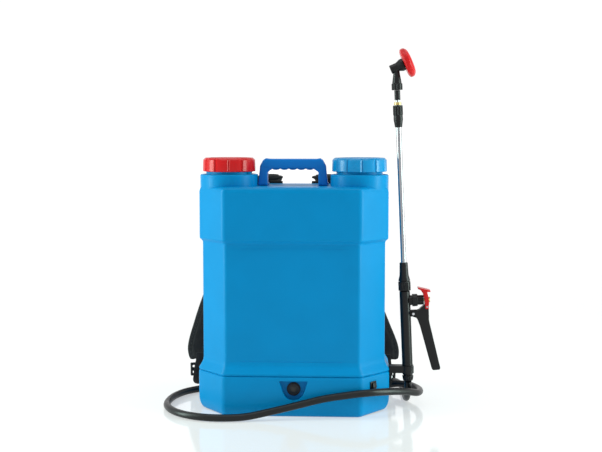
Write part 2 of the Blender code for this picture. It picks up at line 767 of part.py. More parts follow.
def make_switch_and_port():
    """The rocker switch on the right chamfer and the charging socket in the front recess."""
    turn = (0, 0, SWITCH_TURN)
    frame_at = SWITCH_AT + CHAMFER_NORMAL * (0.0010 + GAP)
    bezel = box(
        "switch_bezel", (0.0160, 0.0020, 0.0220), black_plastic(), 0.0006, location=frame_at, rotation=turn
    )
    body_at = SWITCH_AT - CHAMFER_NORMAL * 0.0060
    join(bezel, box("switch_body", (0.0126, 0.0150, 0.0186), None, location=body_at, rotation=turn))
    well_at = SWITCH_AT + CHAMFER_NORMAL * 0.0020
    cut(bezel, box("switch_well", (0.0110, 0.0150, 0.0166), None, location=well_at, rotation=turn))
    rocker_half = 0.0078
    outline = [
        (0.0060, 0.0), (0.0046, rocker_half), (-0.0010, rocker_half), (-0.0040, 0.0030), (-0.0040, -0.0030)
    ]
    outline += [(-0.0010, -rocker_half), (0.0028, -rocker_half)]
    rocker_at = SWITCH_AT + CHAMFER_NORMAL * 0.0006
    rocker = plate("power_rocker", [outline], 0.0102, black_plastic(), location=rocker_at)
    rocker.rotation_euler = (math.pi / 2, 0, SWITCH_TURN - math.pi / 2)
    place = {"location": (PORT_X, PAN_Y - GAP, PORT_Z), "rotation": (math.pi / 2, 0, 0)}
    flange = 0.0022
    socket = [(0.0062, flange), (0.0128, flange), (0.0132, 0.0014), (0.0132, 0.0), (0.0080, 0.0)]
    socket += [(0.0080, -0.0160), (0.0030, -0.0160), (0.0030, -0.0120), (0.0062, -0.0120)]
    turned("charging_socket", socket, black_plastic(), 20, **place)
    seat = flange + GAP
    dust_cap = [(0, 0.0084), (0.0050, 0.0074), (0.0078, 0.0052), (0.0104, 0.0044), (0.0110, 0.0036)]
    dust_cap += [(0.0110, seat), (0.0058, seat), (0.0056, -0.0070), (0, -0.0070)]
    turned("charging_cap", dust_cap, material("black_rubber", BLACK, 0.6), 20, **place)


# ---- caps, handle and straps ---------------------------------------------------------------------
def make_filler(colour, side):
    """One screw cap with its gasket and strainer basket."""
    place = {"location": (side * TURRET_X, TURRET_Y, 0)}
    radius = CAP_RADII[colour]
    bore = NECK_RADIUS + 0.0016
    ceiling = CAP_TOP - 0.0040
    surface = material("red_plastic", RED, 0.25) if colour == "red" else blue_plastic()
    shell = [
        (0, CAP_TOP),
        (radius - 0.0060, CAP_TOP),
        (radius - 0.0022, CAP_TOP - 0.0012),
        (radius - 0.0004, CAP_TOP - 0.0046),
        (radius, CAP_BOTTOM),
        (bore, CAP_BOTTOM),
        (bore, ceiling),
        (0, ceiling),
    ]
    turned(f"{colour}_cap", shell, surface, 28, **place)
    flange = NECK_TOP + GAP
    seal = flange + 0.0014 + GAP
    outer = NECK_RADIUS - 0.0006
    rubber = material("black_rubber", BLACK, 0.6)
    turned(f"{colour}_cap_gasket", ring_outline(outer, 0.0360, seal, ceiling - GAP), rubber, 20, **place)
    reach = NECK_BORE - 0.0014
    depth = 0.055
    basket = [
        (outer, flange + 0.0014),
        (outer, flange),
        (reach, flange),
        (reach - 0.003, flange - depth),
        (0, flange - depth),
        (0, flange - depth + 0.0018),
        (reach - 0.0048, flange - depth + 0.0018),
        (reach - 0.0018, flange + 0.0014),
    ]
    form_name = f"strainer_{'left' if side < 0 else 'right'}"
    strainer = turned(form_name, basket, material("strainer", WHITE, 0.5), 20, **place)
    for index in range(4):
        turn = (0, 0, math.pi * (index + 0.5) / 4)
        slot_at = (side * TURRET_X, TURRET_Y, flange - depth / 2)
        cut(
            strainer,
            box(f"{form_name}_slot_{index}", (0.100, 0.008, 0.034), None, location=slot_at, rotation=turn),
        )


def make_handle():
    """The carry handle: two legs and a grip with a scalloped underside, and its foot screws."""
    foot = TANK_TOP + GAP
    top = 0.4934
    under = 0.4740
    outer = 0.0685
    inner = 0.0498
    outline = [
        (-outer, foot),
        (-outer + 0.0040, 0.4800),
        (-outer + 0.0100, 0.4910),
        (-outer + 0.0150, top + 0.0012),
    ]
    outline += [(-outer + 0.0220, top), (outer - 0.0220, top)]
    outline += [
        (outer - 0.0150, top + 0.0012), (outer - 0.0100, 0.4910), (outer - 0.0040, 0.4800), (outer, foot)
    ]
    outline += [(inner, foot), (inner, 0.4680)]
    pitch = 0.0166
    for tooth in range(5):
        middle = (2 - tooth) * pitch
        outline += [
            (middle + pitch * 0.42, under),
            (middle + 0.0014, under - 0.0022),
            (middle - 0.0014, under - 0.0022),
        ]
        outline += [(middle - pitch * 0.42, under)]
    outline += [(-inner, 0.4680), (-inner, foot)]
    surface = material("dark_blue_plastic", DARK_BLUE, 0.35)
    place = {"location": (HANDLE_X, HANDLE_Y, 0)}
    handle = plate("carry_handle", [outline], HANDLE_DEPTH, surface, **place)
    for side in (-1, 1):
        foot_x = HANDLE_X + side * HANDLE_FOOT_X
        tab_at = (foot_x, HANDLE_Y + FOOT_SCREW_Y - 0.003, foot + 0.0025)
        join(handle, box(f"foot_tab_{side}", (0.0200, 0.026, 0.005), None, location=tab_at))
        hole_at = (foot_x, HANDLE_Y + FOOT_SCREW_Y, foot - 0.002)
        cut(handle, cylinder(f"foot_hole_{side}", 0.0026, 0.012, None, 12, location=hole_at))
        head = foot + 0.005 + GAP
        screw = [
            (0, head + 0.003),
            (0.0030, head + 0.003),
            (0.0042, head + 0.0016),
            (0.0042, head),
            (0.0021, head),
        ]
        screw += [(0.0021, TANK_TOP - 0.009), (0, TANK_TOP - 0.009)]
        name = f"handle_screw_{'left' if side < 0 else 'right'}"
        turned(name, screw, steel(), 14, location=(foot_x, HANDLE_Y + FOOT_SCREW_Y, 0))


def make_straps():
    fabric = material("black_webbing", BLACK, 0.85)
    padding = material("black_pad", BLACK, 0.9)
    for sign, name in ((-1, "left"), (1, "right")):
        anchor_y = BACK_Y - UPPER_INSET + GAP
        bracket = box(
            f"strap_anchor_{name}",
            (0.052, 0.0060, 0.048),
            black_plastic(),
            0.001,
            location=(sign * ANCHOR_X, anchor_y + 0.0030, ANCHOR_Z),
        )
        bar_at = (sign * ANCHOR_X, anchor_y + 0.0100, ANCHOR_Z + 0.0340)
        join(bracket, box(f"anchor_bar_{name}", (0.052, 0.0060, 0.0060), None, location=bar_at))
        for end in (-1, 1):
            cheek_at = (sign * ANCHOR_X + end * 0.0240, anchor_y + 0.0070, ANCHOR_Z + 0.0250)
            join(
                bracket,
                box(f"anchor_cheek_{name}_{end}", (0.0040, 0.0120, 0.0240), None, location=cheek_at),
            )
        turn = (-math.pi / 2, 0, 0)
        place = {"location": (sign * ANCHOR_X, anchor_y - 0.010, ANCHOR_SCREW_Z), "rotation": turn}
        cut(bracket, cylinder(f"bracket_hole_{name}", 0.0024, 0.030, None, 12, **place))
        head = 0.0160 + GAP
        screw = [
            (0, head + 0.002),
            (0.0032, head + 0.002),
            (0.0040, head + 0.001),
            (0.0040, head),
            (0.0020, head),
        ]
        screw += [(0.0020, 0.0020), (0, 0.0020)]
        turned(f"anchor_screw_{name}", screw, steel(), 12, **place)
        spread = STRAP_SPREAD[name]
        pad_route = [(sign * x, y, z) for x, y, z in PAD_ROUTES[name]]
        facings = PAD_FACING + [PAD_TURN] * (len(pad_route) - len(PAD_FACING))
        facings = [(sign * x, y, z) for x, y, z in facings]
        strap(f"strap_pad_{name}", pad_route, facings, PAD_WIDTH, PAD_THICK, padding, 0.86)
        buckle_at = Vector((sign * (BUCKLE_AT[0] + spread), BUCKLE_AT[1], BUCKLE_AT[2]))
        web_route = [(sign * x, y, z) for x, y, z in WEB_ROUTE]
        reach = BUCKLE_AT[0] - LUG_X
        web_route = [(x + sign * spread * (abs(x) - LUG_X) / reach, y, z) for x, y, z in web_route]
        facings = [(sign * x, y, z) for x, y, z in WEB_FACING]
        strap(f"strap_web_{name}", web_route, facings, WEB_WIDTH, WEB_THICK, fabric)
        buckle_turn = (math.radians(-6), 0, sign * math.radians(-19))
        place = {"location": buckle_at, "rotation": buckle_turn}
        buckle = box(f"strap_buckle_{name}", (0.036, 0.0060, 0.028), black_plastic(), 0.001, **place)
        for row in (-1, 1):
            offset = Vector((0, 0, row * 0.0062))
            offset.rotate(buckle.rotation_euler)
            slot_place = {"location": buckle_at + offset, "rotation": buckle_turn}
            cut(buckle, box(f"buckle_slot_{name}_{row}", (0.0275, 0.020, 0.0050), None, **slot_place))


# ---- gun and lance -------------------------------------------------------------------------------
def make_gun(axis):
    """Grip, valve, trigger and lock. Heights run up the lance's axis from the grip's lower end."""
    body = black_plastic()
    barrel = [(0.0046, 0.1850), (0.0086, 0.1850), (0.0086, 0.1660), (0.0103, 0.1640), (0.0104, 0.0)]
    barrel += [(0.0088, 0.0), (0.0088, -0.0020), (0.0046, -0.0020)]
    grip = turned("gun_body", barrel, body, 20, parent=axis)
    across = (0, math.pi / 2, 0)
    join(
        grip,
        cylinder(
            "valve_seat",
            0.0098,
            0.0060,
            None,
            24,
            parent=axis,
            location=(0.0075, 0, VALVE_Z),
            rotation=across,
        ),
    )
    bore_at = (0.0020, 0, VALVE_Z)
    cut(
        grip,
        cylinder("valve_bore", 0.0052, 0.020, None, 16, parent=axis, location=bore_at, rotation=across),
    )
    lug = box("pivot_lug", (0.0200, 0.0090, 0.0130), None, parent=axis, location=(0.0130, 0, PIVOT_Z))
    join(grip, lug)
    pin_turn = (math.pi / 2, 0, 0)
    pin_at = (PIVOT_X, 0.020, PIVOT_Z)
    cut(
        grip,
        cylinder("pivot_hole", 0.0028, 0.040, None, 16, parent=axis, location=pin_at, rotation=pin_turn),
    )

    collar = [(0.0116, 0.1840), (0.0120, 0.1820), (0.0120, 0.1664), (0.0090, 0.1664), (0.0090, 0.1840)]
    turned("gun_collar_nut", collar, body, 20, parent=axis)

    bonnet = [(0.0035, 0.0225), (0.0088, 0.0225), (0.0094, 0.0205), (0.0094, 0.0110), (0.0120, 0.0100)]
    bonnet += [(0.0122, 0.0), (0.0035, 0.0)]
    turned("valve_bonnet", bonnet, body, 20, parent=axis, location=(0.0139, 0, VALVE_Z), rotation=across)
    stem = [(0, 0.0486), (0.0048, 0.0486), (0.0055, 0.0478), (0.0055, 0.0460), (0.0030, 0.0460)]
    stem += [(0.0030, 0.0070), (0.0046, 0.0070), (0.0046, 0.0040), (0, 0.0040)]
    place = {"parent": axis, "location": (0, 0, VALVE_Z), "rotation": across}
    turned("valve_stem", stem, material("brass", BRASS, 0.3, 1.0), 14, **place)

    pivot_place = {"parent": axis, "location": (PIVOT_X, 0.0120, PIVOT_Z), "rotation": pin_turn}
    pin = [(0, 0.0240), (0.0025, 0.0240), (0.0025, 0.0015), (0.0040, 0.0015), (0.0040, 0.0), (0, 0.0)]
    turned("trigger_pin", pin, steel(), 16, **pivot_place)

    lever = [(x - PIVOT_X, z - PIVOT_Z) for x, z in LEVER_OUTLINE]
    pivot = add_empty("trigger_pivot", (PIVOT_X, 0, PIVOT_Z), (0, 0, 0), axis)
    trigger = plate("trigger_lever", [lever], 0.0170, body, parent=pivot)
    lug_room = box("lug_room", (0.0300, 0.0104, 0.0200), None, parent=pivot, location=(-0.0045, 0, 0.0))
    cut(trigger, lug_room)
    stem_room = box("stem_room", (0.0200, 0.0074, 0.0200), None, parent=pivot, location=(0.0290, 0, 0.0310))
    cut(trigger, stem_room)
    hole_at = (0, 0.020, 0)
    cut(
        trigger,
        cylinder(
            "trigger_hole", 0.0028, 0.040, None, 16, parent=pivot, location=hole_at, rotation=pin_turn
        ),
    )
    lock_hole = (LOCK_X - PIVOT_X, 0.020, LOCK_Z - PIVOT_Z)
    cut(
        trigger,
        cylinder("lock_hole", 0.0018, 0.040, None, 12, parent=pivot, location=lock_hole, rotation=pin_turn),
    )

    lock_pin = [(0, 0.0236), (0.0015, 0.0236), (0.0015, 0.0), (0, 0.0)]
    place = {"parent": axis, "location": (LOCK_X, 0.0118, LOCK_Z), "rotation": pin_turn}
    turned("lock_pin", lock_pin, steel(), 12, **place)
    lock_pivot = add_empty("lock_pivot", (LOCK_X, 0, LOCK_Z), (0, 0, 0), axis)
    lock = [(x - LOCK_X, z - LOCK_Z) for x, z in LOCK_OUTLINE]
    piece = plate("trigger_lock", [lock], 0.0222, material("red_plastic", RED, 0.25), parent=lock_pivot)
    cut(piece, box("lock_room", (0.0400, 0.0178, 0.0400), None, parent=lock_pivot, location=(0, 0, 0.0090)))
    cut(
        piece,
        cylinder(
            "lock_bore", 0.0018, 0.040, None, 12, parent=lock_pivot, location=hole_at, rotation=pin_turn
        ),
    )

    nut = [(0.0106, -0.0026), (0.0110, -0.0040), (0.0102, -0.0100), (0.0092, -0.0128)]
    nut += [(0.0074, -0.0128), (0.0074, -0.0026)]
    turned("hose_tail_nut", nut, body, 20, parent=axis)


def make_lance(axis):
    """The telescopic lance, from the taper nut on the gun up to the spray head."""
    body = black_plastic()
    taper = [(0.0080, 0.2210), (0.0090, 0.1960), (0.0118, 0.1854), (0.0056, 0.1854), (0.0056, 0.2210)]
    turned("lance_taper_nut", taper, body, 20, parent=axis)
    turned("lance_outer_tube", ring_outline(0.0052, 0.0044, 0.1858, 0.5200), steel(), 16, parent=axis)
    collet = [(0.0093, 0.5270), (0.0096, 0.5240), (0.0096, 0.5090), (0.0089, 0.5078), (0.0092, 0.5000)]
    collet += [(0.0070, 0.4850), (0.0056, 0.4850), (0.0056, 0.5204), (0.0043, 0.5208), (0.0043, 0.5270)]
    turned("collet_nut", collet, body, 20, parent=axis)
    brass = material("brass", BRASS, 0.3, 1.0)
    turned("stop_ring", ring_outline(0.0070, 0.0043, 0.5276, 0.5332), brass, 16, parent=axis)
    turned("lance_inner_tube", ring_outline(0.0040, 0.0032, 0.2700, 0.5500), steel(), 14, parent=axis)
    sleeve = [(0.0057, 0.5560), (0.0057, 0.5374), (0.0043, 0.5374), (0.0043, 0.5504)]
    sleeve += [(0.0030, 0.5508), (0.0030, 0.5560)]
    turned("lance_sleeve", sleeve, body, 16, parent=axis)
    nut = [(0.0100, 0.5692), (0.0106, 0.5680), (0.0106, 0.5566), (0.0034, 0.5566), (0.0034, 0.5600)]
    nut += [(0.0094, 0.5600), (0.0094, 0.5692)]
    turned("union_nut", nut, body, 20, parent=axis)

    elbow = [
        (0, 0.5990), (0.0052, 0.5990), (0.0066, 0.5870), (0.0090, 0.5712), (0.0090, 0.5604), (0, 0.5604)
    ]
    stem = turned("nozzle_body", elbow, body, 20, parent=axis)
    head_axis = add_empty("head_axis", (0, 0, NOZZLE_HEIGHT), (0, HEAD_TILT, 0), axis)
    rear = [
        (0, 0.0155), (0.0120, 0.0155), (0.0120, 0.0100), (0.0085, 0.0020), (0.0085, -0.0120), (0, -0.0120)
    ]
    join(stem, turned("nozzle_barrel", rear, None, 20, parent=head_axis))
    boss = [(0, 0.0270), (0.0060, 0.0270), (0.0060, 0.0130), (0, 0.0130)]
    join(stem, turned("nozzle_boss", boss, None, 16, parent=head_axis))
    cut(stem, cylinder("nozzle_way", 0.0020, 0.060, None, 12, parent=head_axis, location=(0, 0, 0.002)))
    cut(stem, cylinder("elbow_way", 0.0024, 0.050, None, 12, parent=axis, location=(0, 0, 0.5500)))

    red = material("red_plastic", RED, 0.25)
    dish = [(0.0150, 0.0325), (0.0240, 0.0305), (0.0285, 0.0265), (0.0293, 0.0225), (0.0286, 0.0185)]
    dish += [(0.0235, 0.0160), (0.0063, 0.0160), (0.0063, 0.0274), (0.0080, 0.0278), (0.0150, 0.0280)]
    turned("spray_head", dish, red, 24, parent=head_axis)
    tip = [(0.0010, 0.0315), (0.0050, 0.0315), (0.0076, 0.0295), (0.0076, 0.0282), (0.0010, 0.0282)]
    turned("nozzle_tip", tip, brass, 16, parent=head_axis)


def make_lance_clip(axis):
    """A C-shaped clip on the base's side that holds the grip's lower end."""
    spot = GUN_FOOT
    block_x = HALF_WIDTH + GAP
    width = spot.x - 0.0120 - block_x + 0.004
    clip = box(
        "lance_clip",
        (width, 0.0220, 0.0140),
        black_plastic(),
        0.001,
        location=(block_x + width / 2, spot.y, CLIP_Z + 0.0165),
    )
    arms_at = (spot.x, spot.y, CLIP_Z + 0.0095)
    join(clip, cylinder("clip_ring", 0.0136, 0.0140, None, 28, location=arms_at))
    foot_at = (block_x + 0.0020, spot.y, CLIP_Z)
    join(clip, box("clip_foot", (0.0040, 0.0220, 0.0360), None, location=foot_at))
    cut(clip, cylinder("clip_bore", 0.0108, 0.060, None, 28, parent=axis, location=(0, 0, -0.020)))
    cut(
        clip,
        box(
            "clip_mouth", (0.0200, 0.0150, 0.060), None, location=(spot.x + 0.0120, spot.y, CLIP_Z + 0.015)
        ),
    )
    hole_at = (block_x - 0.010, spot.y, CLIP_Z)
    across = (0, math.pi / 2, 0)
    cut(clip, cylinder("clip_screw_hole", 0.0024, 0.030, None, 12, location=hole_at, rotation=across))
    screw = [
        (0, 0.0065), (0.0032, 0.0065), (0.0040, 0.0055), (0.0040, 0.0044 + GAP), (0.0019, 0.0044 + GAP)
    ]
    screw += [(0.0019, -0.0060), (0, -0.0060)]
    turned("clip_screw", screw, steel(), 12, location=(HALF_WIDTH, spot.y, CLIP_Z), rotation=across)


def make_hose():
    route = smooth_route([Vector(point) for point in HOSE_ROUTE], 2)
    tube("hose", route, HOSE_RADIUS, material("hose_rubber", BLACK, 0.45), 2)


def main():
    clear_scene()
    make_tank()
    make_base_housing()
    make_base_cover()
    make_power_parts()
    make_pump()
    make_hose_outlet()
    make_switch_and_port()
    for colour, side in CAP_SIDES.items():
        make_filler(colour, side)
    make_handle()
    make_straps()
    axis = add_empty("lance_axis", GUN_FOOT, (0, -GUN_TILT, 0))
    make_gun(axis)
    make_lance(axis)
    make_lance_clip(axis)
    make_hose()


main()
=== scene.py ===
import json
import math

import bmesh
import bpy
from mathutils import Matrix, Vector


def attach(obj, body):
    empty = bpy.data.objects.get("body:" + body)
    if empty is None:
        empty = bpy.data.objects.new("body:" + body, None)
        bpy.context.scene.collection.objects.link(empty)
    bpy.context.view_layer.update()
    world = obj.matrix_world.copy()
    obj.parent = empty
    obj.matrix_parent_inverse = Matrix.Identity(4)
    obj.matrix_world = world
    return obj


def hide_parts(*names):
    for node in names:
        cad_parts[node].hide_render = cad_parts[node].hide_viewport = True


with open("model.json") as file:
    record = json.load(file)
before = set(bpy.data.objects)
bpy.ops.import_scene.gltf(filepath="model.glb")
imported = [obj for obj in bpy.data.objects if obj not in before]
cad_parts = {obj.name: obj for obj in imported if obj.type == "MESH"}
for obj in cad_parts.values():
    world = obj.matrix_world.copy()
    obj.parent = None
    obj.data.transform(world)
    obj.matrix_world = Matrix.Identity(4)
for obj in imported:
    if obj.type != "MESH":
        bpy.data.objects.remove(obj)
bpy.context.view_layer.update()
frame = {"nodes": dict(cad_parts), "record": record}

# ---- dimensions, in metres, as in the CAD --------------------------------------------------------
GAP = 0.0004
WALL = 0.0028
HALF_WIDTH = 0.1878
FRONT_FLAT = 0.1332
FRONT_Y = -0.0960
CHAMFER_Y = -0.0340
BACK_Y = 0.0950
CORNER_RADII = (0.016, 0.016, 0.012, 0.030, 0.030, 0.012)
BASE_TOP = 0.0775
TANK_BOTTOM = BASE_TOP + GAP
LEDGE_Z = 0.3330
TANK_TOP = 0.4410
MID_INSET = 0.0092
UPPER_INSET = 0.0030
BOTTOM_ROUND = 0.015
BOTTOM_HEIGHT = 0.026
PANEL_X = 0.0965  # edges of the shallow front panel
PANEL_DEPTH = 0.0009
TURRET_X = 0.1280
TURRET_Y = -0.0100
TURRET_RADIUS = 0.0568
TURRET_TOP = 0.4637
NECK_RADIUS = 0.0452
NECK_BORE = 0.0405
NECK_TOP = 0.4860
CAP_BOTTOM = 0.4690
CAP_TOP = 0.4958
HANDLE_X = -0.0022
HANDLE_Y = -0.0050
HANDLE_DEPTH = 0.028
OUTLET_XY = (0.0600, 0.0300)
PORT_X = 0.0030
PORT_Z = 0.0525
PAN_Y = FRONT_Y + 0.0130
SWITCH_TURN = math.atan2(CHAMFER_Y - FRONT_Y, HALF_WIDTH - FRONT_FLAT)
SWITCH_X = 0.1552
SWITCH_AT = Vector((SWITCH_X, FRONT_Y + (SWITCH_X - FRONT_FLAT) * math.tan(SWITCH_TURN), 0.0555))
CHAMFER_NORMAL = Vector((math.sin(SWITCH_TURN), -math.cos(SWITCH_TURN), 0))
ANCHOR_X = 0.0560
ANCHOR_Z = 0.4080
LUG_X = 0.1480
LUG_Z = 0.0450
CLIP_Z = 0.0640
HOSE_OUTLET_X = -0.0450
HOSE_OUTLET_Z = 0.0240
HOSE_RADIUS = 0.0070
VALVE_Z = 0.1462
PIVOT_X = 0.0150
PIVOT_Z = 0.1206
LOCK_X = 0.0420
LOCK_Z = 0.1335

GUN_FOOT = Vector((0.2248, -0.0200, 0.0705))
LANCE = Matrix.Translation(GUN_FOOT) @ Matrix.Rotation(-math.radians(2.57), 4, "Y")
HEAD = LANCE @ Matrix.Translation((0, 0, 0.6000)) @ Matrix.Rotation(math.radians(69.1), 4, "Y")
ALONG_X = Matrix.Rotation(math.pi / 2, 4, "Y")
ALONG_Y = Matrix.Rotation(-math.pi / 2, 4, "X")
STAY = Matrix.Identity(4)

HOSE_ROUTE = [
    (-0.0960, 0.1190, 0.0240),
    (-0.1180, 0.1190, 0.0225),
    (-0.1450, 0.1185, 0.0165),
    (-0.1750, 0.1150, 0.0095),
    (-0.2050, 0.1000, 0.0072),
    (-0.2330, 0.0690, 0.0072),
    (-0.2500, 0.0240, 0.0072),
    (-0.2520, -0.0330, 0.0072),
    (-0.2360, -0.0780, 0.0072),
    (-0.2060, -0.1120, 0.0072),
    (-0.1680, -0.1310, 0.0072),
    (-0.1280, -0.1355, 0.0072),
    (-0.0850, -0.1290, 0.0085),
    (-0.0400, -0.1190, 0.0160),
    (0.0100, -0.1120, 0.0270),
    (0.0600, -0.1080, 0.0390),
    (0.1080, -0.1075, 0.0470),
    (0.1460, -0.1020, 0.0505),
    (0.1860, -0.0760, 0.0475),
    (0.2190, -0.0460, 0.0410),
    (0.2430, -0.0160, 0.0320),
    (0.2510, 0.0200, 0.0270),
    (0.2480, 0.0580, 0.0235),
    (0.2350, 0.0900, 0.0220),
    (0.2100, 0.1120, 0.0200),
    (0.1750, 0.1230, 0.0120),
    (0.1380, 0.1330, 0.0075),
    (0.1120, 0.1600, 0.0072),
    (0.1130, 0.1980, 0.0072),
    (0.1430, 0.2230, 0.0072),
    (0.1800, 0.2180, 0.0072),
    (0.2080, 0.1900, 0.0072),
    (0.2200, 0.1500, 0.0072),
    (0.2230, 0.1050, 0.0072),
    (0.2240, 0.0600, 0.0075),
    (0.2245, 0.0250, 0.0120),
    (0.2250, 0.0010, 0.0250),
    (0.2253, -0.0140, 0.0420),
    (0.2255, -0.0195, 0.0560),
]
PAD_WIDTH = 0.056
PAD_THICK = 0.013
WEB_WIDTH = 0.025
WEB_THICK = 0.0022
PAD_STEPS = 28
PAD_SEAM = 0.74  # sewn channels, as a share of the half width
STITCH_PITCH = 0.0060
STITCH_LIFT = 0.0034
PAD_TOP = [
    (0.0560, 0.0985, 0.4521), (0.0570, 0.1130, 0.4528), (0.0600, 0.1330, 0.4490), (0.0670, 0.1480, 0.4320)
]
PAD_ROUTES = {
    "left": [
        (0.0850, 0.1560, 0.3900),
        (0.1200, 0.1640, 0.3250),
        (0.1560, 0.1690, 0.2500),
        (0.1830, 0.1680, 0.1850),
        (0.2000, 0.1610, 0.1330),
        (0.2115, 0.1520, 0.0880),
        (0.2060, 0.1460, 0.0650),
    ],
    "right": [
        (0.0780, 0.1560, 0.3900),
        (0.1010, 0.1640, 0.3250),
        (0.1260, 0.1690, 0.2500),
        (0.1480, 0.1680, 0.1850),
        (0.1690, 0.1610, 0.1330),
        (0.1870, 0.1520, 0.0880),
        (0.1860, 0.1460, 0.0650),
    ],
}
STRAP_SPREAD = {"left": 0.0240, "right": 0.0}  # how far the left buckle lies further out
BUCKLE_AT = (0.1895, 0.1425, 0.0405)
WEB_ROUTE = [
    (0.1842, 0.1384, 0.0760),
    (0.1852, 0.1376, 0.0600),
    (0.1876, 0.1368, 0.0405),
    (0.1886, 0.1349, 0.0250),
    (0.1882, 0.1344, 0.0185),
    (0.1800, 0.1320, 0.0245),
    (0.1630, 0.1150, 0.0292),
    (0.1510, 0.1080, 0.0312),
    (0.1485, 0.1050, 0.0338),
]
WEB_FACING = [
    (0.35, 1.0, 0.0),
    (0.35, 1.0, 0.0),
    (0.35, 1.0, 0.1),
    (0.35, 1.0, 0.1),
    (0.3, 0.8, 0.6),
    (0.2, 0.3, 1.0),
    (0.1, 0.1, 1.0),
    (0.0, 0.7, 0.7),
    (0.0, 1.0, 0.0),
]
PAD_FACING = [(0.0, 0.0, 1.0), (0.0, 0.1, 1.0), (0.15, 0.7, 0.7), (0.30, 1.0, 0.2)]  # then PAD_TURN
PAD_TURN = (0.35, 1.0, 0.0)
ANCHOR_SCREW_Z = 0.4040
HANDLE_FOOT_X = 0.0592
FOOT_SCREW_Y = 0.0200
CAP_RADII = {"red": 0.0518, "blue": 0.0538}
CAP_GROOVES = 12
CAP_SIDES = {"red": -1, "blue": 1}
LEVER_OUTLINE = [
    (0.0452, 0.1500),
    (0.0456, 0.1360),
    (0.0452, 0.1060),
    (0.0640, 0.0110),
    (0.0625, 0.0075),
    (0.0495, 0.0068),
    (0.0470, 0.0100),
    (0.0270, 0.0960),
    (0.0215, 0.1120),
    (0.0122, 0.1148),
    (0.0114, 0.1200),
    (0.0126, 0.1255),
    (0.0240, 0.1260),
    (0.0388, 0.1385),
    (0.0408, 0.1410),
    (0.0412, 0.1500),
]
LOCK_OUTLINE = [
    (0.0440, 0.1290),
    (0.0464, 0.1400),
    (0.0452, 0.1530),
    (0.0435, 0.1625),
    (0.0500, 0.1625),
    (0.0496, 0.1652),
    (0.0258, 0.1718),
    (0.0250, 0.1694),
    (0.0310, 0.1664),
    (0.0350, 0.1600),
    (0.0375, 0.1500),
    (0.0385, 0.1290),
]


# ---- materials -----------------------------------------------------------------------------------
class Surface:
    """A Principled material whose colour, roughness and bump come from procedural textures."""

    def __init__(self, name, colour, roughness, metallic=0.0, **values):
        self.made = bpy.data.materials.new(name)
        self.made.use_nodes = True
        self.tree = self.made.node_tree
        self.shader = self.tree.nodes["Principled BSDF"]
        self.shader.inputs["Metallic"].default_value = metallic
        self.colour = colour
        self.roughness = roughness
        for key, value in values.items():
            self.shader.inputs[key.replace("_", " ")].default_value = value
        self.place = self.node("ShaderNodeTexCoord").outputs["Object"]
        self.bumps = None

    def node(self, kind, **values):
        made = self.tree.nodes.new(kind)
        for key, value in values.items():
            socket = made.inputs.get(key.replace("_", " "))
            if socket is None:
                setattr(made, key, value)
            else:
                socket.default_value = value
        return made

    def link(self, output, target):
        self.tree.links.new(output, target)

    def noise(self, scale, detail=2.0, stretch=None):
        """Noise in object space, stretched along an axis by a small scale there."""
        made = self.node("ShaderNodeTexNoise", Scale=scale, Detail=detail, Roughness=0.55)
        source = self.place
        if stretch:
            mapping = self.node("ShaderNodeMapping")
            mapping.inputs["Scale"].default_value = stretch
            self.link(source, mapping.inputs["Vector"])
            source = mapping.outputs["Vector"]
        self.link(source, made.inputs["Vector"])
        return made.outputs["Fac"]

    def vary_colour(self, factor, dark, light):
        """Run the base colour from a darker to a lighter share of itself."""
        ramp = self.node("ShaderNodeValToRGB")
        ramp.color_ramp.elements[0].position = 0.3
        ramp.color_ramp.elements[1].position = 0.7
        for element, share in zip(ramp.color_ramp.elements, (dark, light)):
            element.color = (*(min(1.0, channel * share) for channel in self.colour), 1.0)
        self.link(factor, ramp.inputs["Fac"])
        self.link(ramp.outputs["Color"], self.shader.inputs["Base Color"])

    def vary_roughness(self, factor, spread):
        to_range = self.node("ShaderNodeMapRange")
        to_range.inputs["From Min"].default_value = 0.3
        to_range.inputs["From Max"].default_value = 0.7
        to_range.inputs["To Min"].default_value = max(0.02, self.roughness - spread)
        to_range.inputs["To Max"].default_value = min(1.0, self.roughness + spread)
        self.link(factor, to_range.inputs["Value"])
        self.link(to_range.outputs["Result"], self.shader.inputs["Roughness"])

    def bump(self, height, distance, strength=1.0):
        made = self.node("ShaderNodeBump", Strength=strength, Distance=distance)
        self.link(height, made.inputs["Height"])
        if self.bumps is not None:
            self.link(self.bumps, made.inputs["Normal"])
        self.bumps = made.outputs["Normal"]
        self.link(self.bumps, self.shader.inputs["Normal"])

    def wave(self, coordinate, scale, direction):
        """Threads that run across one direction of the band's own length and width."""
        made = self.node("ShaderNodeTexWave", Scale=scale, Distortion=0.0)
        made.bands_direction = direction
        self.link(coordinate, made.inputs["Vector"])
        return made.outputs["Fac"]


def plastic(name, colour, roughness, grain, tint=0.05, ripple=0.0, **values):
    """Moulded plastic: faint colour drift, a fine grain and, on blown walls, a slow ripple."""
    surface = Surface(name, colour, roughness, **values)
    surface.vary_colour(surface.noise(14.0, 3.0), 1.0 - tint, 1.0 + tint)
    surface.vary_roughness(surface.noise(45.0, 3.0), 0.06)
    surface.bump(surface.noise(1400.0, 2.0), grain)
    if ripple:
        surface.bump(surface.noise(16.0, 1.0), ripple)
    return surface.made


def metal(name, colour, roughness, stretch=(1, 1, 1), scale=300.0):
    """Drawn or turned metal with fine lines across the stretch."""
    surface = Surface(name, colour, roughness, 1.0)
    lines = surface.noise(scale, 3.0, stretch)
    surface.vary_colour(lines, 0.90, 1.05)
    surface.vary_roughness(lines, 0.05)
    surface.bump(lines, 0.000004)
    return surface.made


